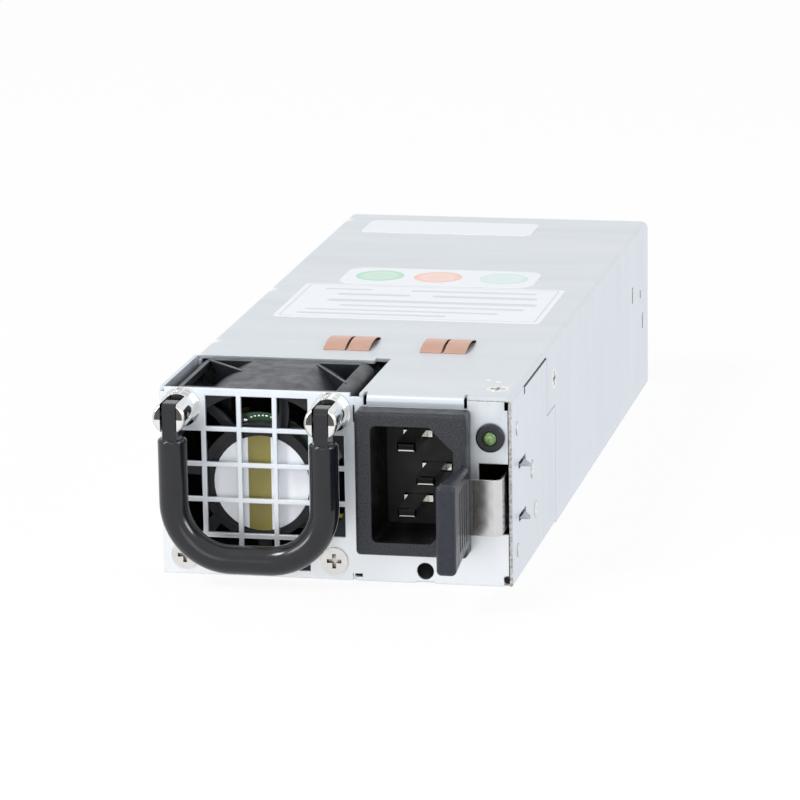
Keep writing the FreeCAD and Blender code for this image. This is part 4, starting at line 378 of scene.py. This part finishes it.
def blade_plate():
    """Satin nickel whose rounded tips carry a painted dark reflection on their front and upper
    faces, so they are bright along their lower edge only.
    """
    surface = plated("blade_nickel", (0.72, 0.70, 0.66), 0.10)
    # painted dark reflection on the front and upper faces of the tips
    tip = surface.less(surface.facing_front(-0.75, -0.4), surface.above("Y", 1))
    upper = surface.ranged(surface.part_of("Normal", "Z"), 0, 1, -0.14, -0.03)
    return surface.tint(surface.both(tip, upper), (0.014, 0.013, 0.012))


def lamp_lens():
    """Clear green resin, darker towards its rim."""
    surface = moulded("lamp_lens", (0.045, 0.115, 0.02), 0.06, depth=0.005, Coat_Weight=1.0,
                      Coat_Roughness=0.02, Coat_IOR=1.7)
    return surface.tint(surface.near((LAMP_X, LAMP_FRONT, LAMP_Z), 1.15, 0.4),
                        (0.12, 0.24, 0.04))


def ferrule_plate():
    """Bright nickel, with a painted reflection on its flat front ends: dark above and pale below.
    """
    surface = plated("bright_nickel", (0.74, 0.745, 0.745), 0.06, 0.04, clear=0.4)
    # painted reflection on the flat front ends: pale below, dark above
    end = surface.both(surface.facing_front(-0.985, -0.95),
                       surface.less(1, surface.above("Y", -8)))
    surface.tint(end, (0.86, 0.855, 0.845))
    upper = surface.both(end, surface.above("Z", 35.7, 0.12))
    return surface.tint(upper, (0.105, 0.097, 0.09))


def spring_strip():
    """Bright rolled stainless, darker on its teeth and, in two steps of painted reflection and
    shade, towards the grip.
    """
    surface = plated("rolled_stainless", (0.66, 0.66, 0.67), 0.13, 0.06)
    surface.tint(surface.above("X", 37.4), (0.46, 0.48, 0.49))
    front = surface.less(1, surface.above("Y", 2, 1))
    # painted reflection of the dark grip and bezel, with their shade, in two steps
    for start, end, color in ((30.8, 33.6, (0.37, 0.345, 0.315)),
                              (28.4, 31.2, (0.21, 0.215, 0.23))):
        surface.tint(surface.both(front, surface.fade("X", start, end, 1, 0)), color)
    return surface


MATERIALS = {
    "case": case_walls(),
    "cover": cover_sheet(),
    "panel": front_sheet(),
    "fan": fan_moulding(),
    "rotor": black("rotor_moulding", (0.007, 0.007, 0.008)),
    "magnet": moulded("pressed_ferrite", (0.05, 0.048, 0.046), 0.55),
    "ground": plated("ground_steel", (0.50, 0.50, 0.51), 0.22),
    "nickel": ferrule_plate(),
    "stud": plated("plated_stud", (0.66, 0.655, 0.64), 0.14),
    "screw": plated("screw_nickel", (0.74, 0.725, 0.70), 0.22, reach=1.2, clear=0.9),
    "cover_screw": plated("cover_screw_nickel", (0.80, 0.80, 0.79), 0.22, reach=0.7, clear=0.6),
    "handle": moulded("coated_wire", (0.0085, 0.0092, 0.0125), 0.17, grain=500, depth=0.01),
    "inlet": inlet_moulding(),
    "blades": blade_plate(),
    "lamp_bezel": black("lamp_bezel", (0.025, 0.026, 0.030), 0.4),
    "lamp_lens": lamp_lens(),
    "spring": spring_strip(),
    "grip": black("grip_moulding", (0.024, 0.027, 0.036), 0.3, edge=0.9),
    "copper": plated("copper_alloy", (0.64, 0.39, 0.30), 0.3, 0.1),
    "laminate": moulded("solder_resist", (0.012, 0.085, 0.028), 0.30),
    "fan_board": driver_board(),
    "solder": plated("solder", (0.78, 0.80, 0.82), 0.14),
    "film": moulded("polyester_film", (0.75, 0.74, 0.68), 0.25),
    "sleeve": moulded("shrink_sleeve", (0.02, 0.025, 0.05), 0.22),
    "epoxy": moulded("moulded_epoxy", (0.015, 0.015, 0.016), 0.5),
    "yellow": moulded("cast_box", (0.62, 0.40, 0.04)),
    "ferrite": moulded("sintered_ferrite", (0.035, 0.035, 0.037), 0.6),
    "tape": moulded("winding_tape", (0.68, 0.45, 0.05), 0.35),
    "coil": plated("enamelled_copper", (0.58, 0.20, 0.08), 0.28),
    "aluminium": plated("extruded_aluminium", (0.72, 0.73, 0.74), 0.32),
    "ceramic": moulded("glazed_ceramic", (0.78, 0.74, 0.66), 0.2),
    "lead": moulded("lead_insulation", (0.015, 0.015, 0.016), 0.4),
    "fan_lead": lead_colours(),
    "plug": black("plug_moulding", (0.018, 0.018, 0.020), 0.5),
    "gold": plated("gold_flash", (0.83, 0.60, 0.24), 0.2),
}

DRESS = {
    "chassis_base": "case", "top_cover": "cover", "front_panel": "panel", "rear_panel": "cover",
    "panel_rivets": "cover", "fan_frame": "fan", "fan_driver_board": "fan_board",
    "fan_stator": "coil", "fan_bearings": "ground", "fan_impeller": "rotor",
    "fan_magnet": "magnet", "fan_shaft": "ground", "fan_screws": "screw",
    "fan_leads": "fan_lead", "fan_header": "plug", "handle_ferrules": "nickel",
    "handle_pins": "ground", "handle_bail": "handle", "inlet_body": "inlet",
    "inlet_blades": "blades", "inlet_leads": "lead", "led_holder": "lamp_bezel",
    "led_lamp": "lamp_lens", "latch_spring": "spring", "latch_studs": "stud",
    "latch_grip": "grip", "contact_springs": "copper", "cover_screws": "cover_screw",
    "main_board": "laminate", "insulation_film": "film", "board_standoffs": "stud",
    "board_screws": "screw", "fuse": "ceramic", "x_capacitor": "yellow",
    "filter_choke": "coil", "filter_choke_saddle": "epoxy", "bridge_rectifier": "epoxy",
    "bulk_capacitor": "sleeve", "primary_heatsink": "aluminium",
    "power_transistors": "epoxy", "boost_choke": "coil", "boost_choke_saddle": "epoxy",
    "transformer_core": "ferrite", "transformer_winding": "tape",
    "transformer_feet": "epoxy", "control_card": "laminate", "control_chips": "epoxy",
    "output_capacitors": "sleeve", "output_plug": "plug", "output_contacts": "gold",
}


def dress(obj, surface):
    obj.data.materials.clear()
    obj.data.materials.append(surface.material)


for node, key in DRESS.items():
    dress(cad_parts[node], MATERIALS[key])


# ---- pieces, all drawn in millimetres ----

def piece(name, mesh, surface, body=HOUSING):
    obj = bpy.data.objects.new(name, mesh)
    bpy.context.collection.objects.link(obj)
    dress(obj, surface)
    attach(obj, body)


def stacked(name, stacks, to_space):
    """Solids made of closed outlines laid on each other: each stack lists its outlines, and an
    outline lists points of x, y and level."""
    shape = bmesh.new()
    for stack in stacks:
        rims = [[shape.verts.new(to_space(*point)) for point in outline] for outline in stack]
        for lower, upper in zip(rims, rims[1:]):
            for index in range(len(lower)):
                after = (index + 1) % len(lower)
                shape.faces.new((lower[index], lower[after], upper[after], upper[index]))
        shape.faces.new(rims[0])
        shape.faces.new(rims[-1])
    bmesh.ops.recalc_face_normals(shape, faces=shape.faces)
    mesh = bpy.data.meshes.new(name)
    shape.to_mesh(mesh)
    shape.free()
    return mesh


def rounded_outline(low, high, radius, steps=6):
    """A rectangle with round corners, given two opposite corners."""
    points = []
    centres = ((high[0] - radius, high[1] - radius, 0), (low[0] + radius, high[1] - radius, 90),
               (low[0] + radius, low[1] + radius, 180), (high[0] - radius, low[1] + radius, 270))
    for x, y, start in centres:
        for step in range(steps + 1):
            angle = math.radians(start + 90 * step / steps)
            points.append((x + radius * math.cos(angle), y + radius * math.sin(angle)))
    return points


def circle(x, y, radius, steps=48):
    return [(x + radius * math.cos(2 * math.pi * step / steps),
             y + radius * math.sin(2 * math.pi * step / steps)) for step in range(steps)]


def sheet_stack(outline, bottom, thickness):
    """A thin sheet over an outline, with a bevelled upper rim."""
    centre = Vector([sum(axis) / len(outline) for axis in zip(*outline)])
    stack = []
    for inset, level in ((0, 0), (0, 0.6), (0.5, 1)):
        rim = []
        for point in outline:
            away = Vector(point) - centre
            spot = centre + away * (1 - inset * thickness / away.length)
            rim.append((spot.x, spot.y, bottom + level * thickness))
        stack.append(rim)
    return stack


def dome_stack(x, y, radius, bottom, height, steps=16):
    """A round bead that flattens towards its top."""
    return [[(px, py, bottom + height * math.sin(math.radians(angle)))
             for px, py in circle(x, y, radius * math.cos(math.radians(angle)), steps)]
            for angle in (0, 15, 30, 45, 60, 72, 84)]


def on_top(x, y, z):
    return Vector((x, y, z)) * MM


def on_front(x, y, z):
    """A drawing in the front plane, with its height towards the viewer."""
    return Vector((x, -z, y)) * MM


def paper(name, color, roughness=0.36):
    surface = Surface(name, color, roughness=roughness)
    surface.blotches(surface.noise(400, detail=4), 0.02)
    return surface.bump(surface.noise(1500), 0.01, 0.15)


def sticker_paper():
    """White paper with one upright olive band."""
    surface = paper("sticker_paper", (0.86, 0.885, 0.925))
    centre, half_width = FAN_X + 0.1, 2.45
    started, ended = (surface.above("X", centre + side * half_width, 0.04) for side in (-1, 1))
    return surface.tint(surface.less(started, ended), (0.235, 0.205, 0.045))


def ringed_ink(name, place, color, pale):
    """A disc's ink: full at its rim, palest in a ring, and a little darker in its middle."""
    surface = paper(name, color)
    half, third = (tuple((share * a + b) / (share + 1) for a, b in zip(color, pale))
                   for share in (1, 2))
    surface.tint(surface.near(place, 4.5, 1.2), half)
    return surface.tint(surface.near(place, 2.6, 1.2), third)


# the fan's sticker, in its seat on the hub, which stands in front of the driver board
hub_seat = 1.7 - BOARD_FRONT
sticker = sheet_stack(circle(FAN_X + 0.5, FAN_Z - 0.3, 10.2), hub_seat, 0.07)
piece("fan_sticker", stacked("fan_sticker", [sticker], on_front), sticker_paper())

# solder on the driver board: angle about the fan, distance from its axis, and radius
BEADS = ((109, 12.9, 0.45), (104, 13.0, 0.5), (98, 13.5, 0.36), (94.5, 13.7, 0.34),
         (91, 13.75, 0.38), (87.5, 13.8, 0.34), (84, 13.8, 0.36), (80, 13.7, 0.32))
beads = [dome_stack(FAN_X + reach * math.cos(math.radians(angle)),
                    FAN_Z + reach * math.sin(math.radians(angle)),
                    radius, -BOARD_FRONT, 0.3) for angle, reach, radius in BEADS]
piece("driver_solder", stacked("driver_solder", beads, on_front), MATERIALS["solder"])

# the clear dome of the lamp, sunk a little into it
dome = dome_stack(LAMP_X, LAMP_Z, 1.42, -LAMP_FRONT - 0.02, 0.75, steps=32)
piece("lamp_dome", stacked("lamp_dome", [dome], on_front), MATERIALS["lamp_lens"])

# plates on the cover, whose top lies a seam and a sheet's thickness above the rear panel
COVER_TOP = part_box("rear_panel")[1].z / MM + 0.95
PLATE = 0.08
label_paper = paper("label_paper", (0.78, 0.805, 0.835))
for name, low, high, radius in (("label_front", (-29.6, 69), (30.8, 104), 1.2),
                                ("label_middle", (-23, 105), (22.5, 122.6), 4.0),
                                ("label_rear", (-30, 163.4), (11.9, 178), 2.0)):
    plate = sheet_stack(rounded_outline(low, high, radius), COVER_TOP, PLATE)
    piece(name, stacked(name, [plate], on_top), label_paper)

# plain discs on the middle plate
PALE = (0.78, 0.81, 0.82)
DISC_Y = 114
for name, x, color in (("disc_left", -14.5, (0.36, 0.66, 0.47)),
                       ("disc_middle", -0.86, (0.86, 0.47, 0.36)),
                       ("disc_right", 14.64, (0.56, 0.74, 0.71))):
    disc = sheet_stack(circle(x, DISC_Y, 5.6), COVER_TOP + PLATE, 0.03)
    ink = ringed_ink(name + "_ink", (x, DISC_Y, COVER_TOP), color, PALE)
    piece(name, stacked(name, [disc], on_top), ink)

# a border and ruled lines on the front plate: left, right, middle and width of each
LEFT, RIGHT, FRONT, REAR = -28.2, 29.4, 70.3, 102.7
BORDER = 0.3
RULES = ((LEFT, RIGHT, FRONT, BORDER), (LEFT, RIGHT, REAR, BORDER),
         (-24, -13, 98.6, 1.2), (-4, 25, 98.6, 1.4), (-20, -3, 93.4, 1.9), (2, 26, 93.4, 2.1),
         (-21, 27, 87.0, 2.3), (-17, 25, 82.0, 1.5), (-24, 20, 77.4, 1.3), (-25, 9, 73.4, 1.6))
lines = [rounded_outline((left, level - wide / 2), (right, level + wide / 2), wide * 0.45)
         for left, right, level, wide in RULES]
lines += [rounded_outline((x - BORDER / 2, FRONT), (x + BORDER / 2, REAR), 0.1)
          for x in (LEFT, RIGHT)]
ruling = [sheet_stack(line, COVER_TOP + PLATE, 0.02) for line in lines]
piece("label_ruling", stacked("label_ruling", ruling, on_top),
      paper("label_ink", (0.60, 0.62, 0.65)))


# ---- light, floor and camera, all in metres ----

AIM = Vector((0, 0.07, 0.02))
LAMPS = (("key", (-0.7, -0.5, 1.1), (0.35, 0.35), 7.5),
         ("left", (-1.15, -0.9, 0.5), (0.35, 0.8), 7),
         ("right", (1.32, -0.48, 0.6), (0.35, 0.6), 8),
         ("front", (0.1, -1.5, 0.25), (0.9, 0.5), 2))
FILL_LIGHT = 0.6  # strength of the world for the rays that don't show it
FLOOR_WHITE = 0.92  # share of plain white in the floor where it is seen
FLOOR_REACH = 6.0


def area_light(name, place, size, power):
    lamp = bpy.data.lights.new(name, "AREA")
    lamp.shape = "RECTANGLE"
    lamp.size, lamp.size_y = size
    lamp.energy = power
    obj = bpy.data.objects.new(name, lamp)
    bpy.context.collection.objects.link(obj)
    obj.location = place
    obj.rotation_euler = (AIM - Vector(place)).to_track_quat("-Z", "Y").to_euler()


for name, place, size, power in LAMPS:
    area_light(name, place, size, power)


def seen_as_white(tree):
    """1 for camera, mirror and glass rays, and 0 for the rest."""
    path = tree.nodes.new("ShaderNodeLightPath")
    total = path.outputs["Is Camera Ray"]
    for ray in ("Is Glossy Ray", "Is Transmission Ray"):
        high = tree.nodes.new("ShaderNodeMath")
        high.operation = "MAXIMUM"
        tree.links.new(total, high.inputs[0])
        tree.links.new(path.outputs[ray], high.inputs[1])
        total = high.outputs[0]
    return total


world = bpy.data.worlds.new("studio")
bpy.context.scene.world = world
world.use_nodes = True
tree = world.node_tree
tree.nodes.clear()
mix = tree.nodes.new("ShaderNodeMixShader")
tree.links.new(seen_as_white(tree), mix.inputs[0])
for socket, color, strength in ((1, (0.97, 0.98, 1, 1), FILL_LIGHT), (2, (1, 1, 1, 1), 1.0)):
    background = tree.nodes.new("ShaderNodeBackground")
    background.inputs["Color"].default_value = color
    background.inputs["Strength"].default_value = strength
    tree.links.new(background.outputs[0], mix.inputs[socket])
tree.links.new(mix.outputs[0], tree.nodes.new("ShaderNodeOutputWorld").inputs["Surface"])

floor_level = CAD_BOX[0][2]
corners = [(x * FLOOR_REACH, y * FLOOR_REACH, floor_level)
           for x, y in ((-1, -1), (1, -1), (1, 1), (-1, 1))]
floor_mesh = bpy.data.meshes.new("floor")
floor_mesh.from_pydata(corners, [], [(0, 1, 2, 3)])
floor = bpy.data.objects.new("floor", floor_mesh)
bpy.context.collection.objects.link(floor)
floor_surface = Surface("floor_white", (0.90, 0.90, 0.90), roughness=0.6)
floor_surface.bump(floor_surface.noise(40), 0.1, 0.05)
glow = floor_surface.add("ShaderNodeEmission")
share = floor_surface.math("MULTIPLY", seen_as_white(floor_surface.tree), FLOOR_WHITE)
blend = floor_surface.add("ShaderNodeMixShader")
for start, socket in ((share, 0), (floor_surface.shader.outputs[0], 1), (glow.outputs[0], 2)):
    floor_surface.link(start, blend.inputs[socket])
output = next(node for node in floor_surface.tree.nodes if node.type == "OUTPUT_MATERIAL")
floor_surface.link(blend.outputs[0], output.inputs["Surface"])
dress(floor, floor_surface)

CAMERA_PLACE = (0.1950, -0.8551, 0.2517)
ROLL, TILT, TURN = -0.89, 13.68, -11.96
camera_data = bpy.data.cameras.new("camera")
camera_data.sensor_width = 36.0
camera_data.lens = 197.0
camera_data.clip_start = 0.01
camera_data.clip_end = 30.0
camera = bpy.data.objects.new("camera", camera_data)
bpy.context.collection.objects.link(camera)
view = (Matrix.Rotation(math.radians(ROLL), 3, "Y") @ Matrix.Rotation(math.radians(TILT), 3, "X")
        @ Matrix.Rotation(math.radians(TURN), 3, "Z"))
right, ahead, up = view
camera_axes = Matrix((right, up, -ahead)).transposed()
camera.matrix_world = Matrix.Translation(CAMERA_PLACE) @ camera_axes.to_4x4()
bpy.context.scene.camera = camera
bpy.context.scene.view_settings.view_transform = "Standard"
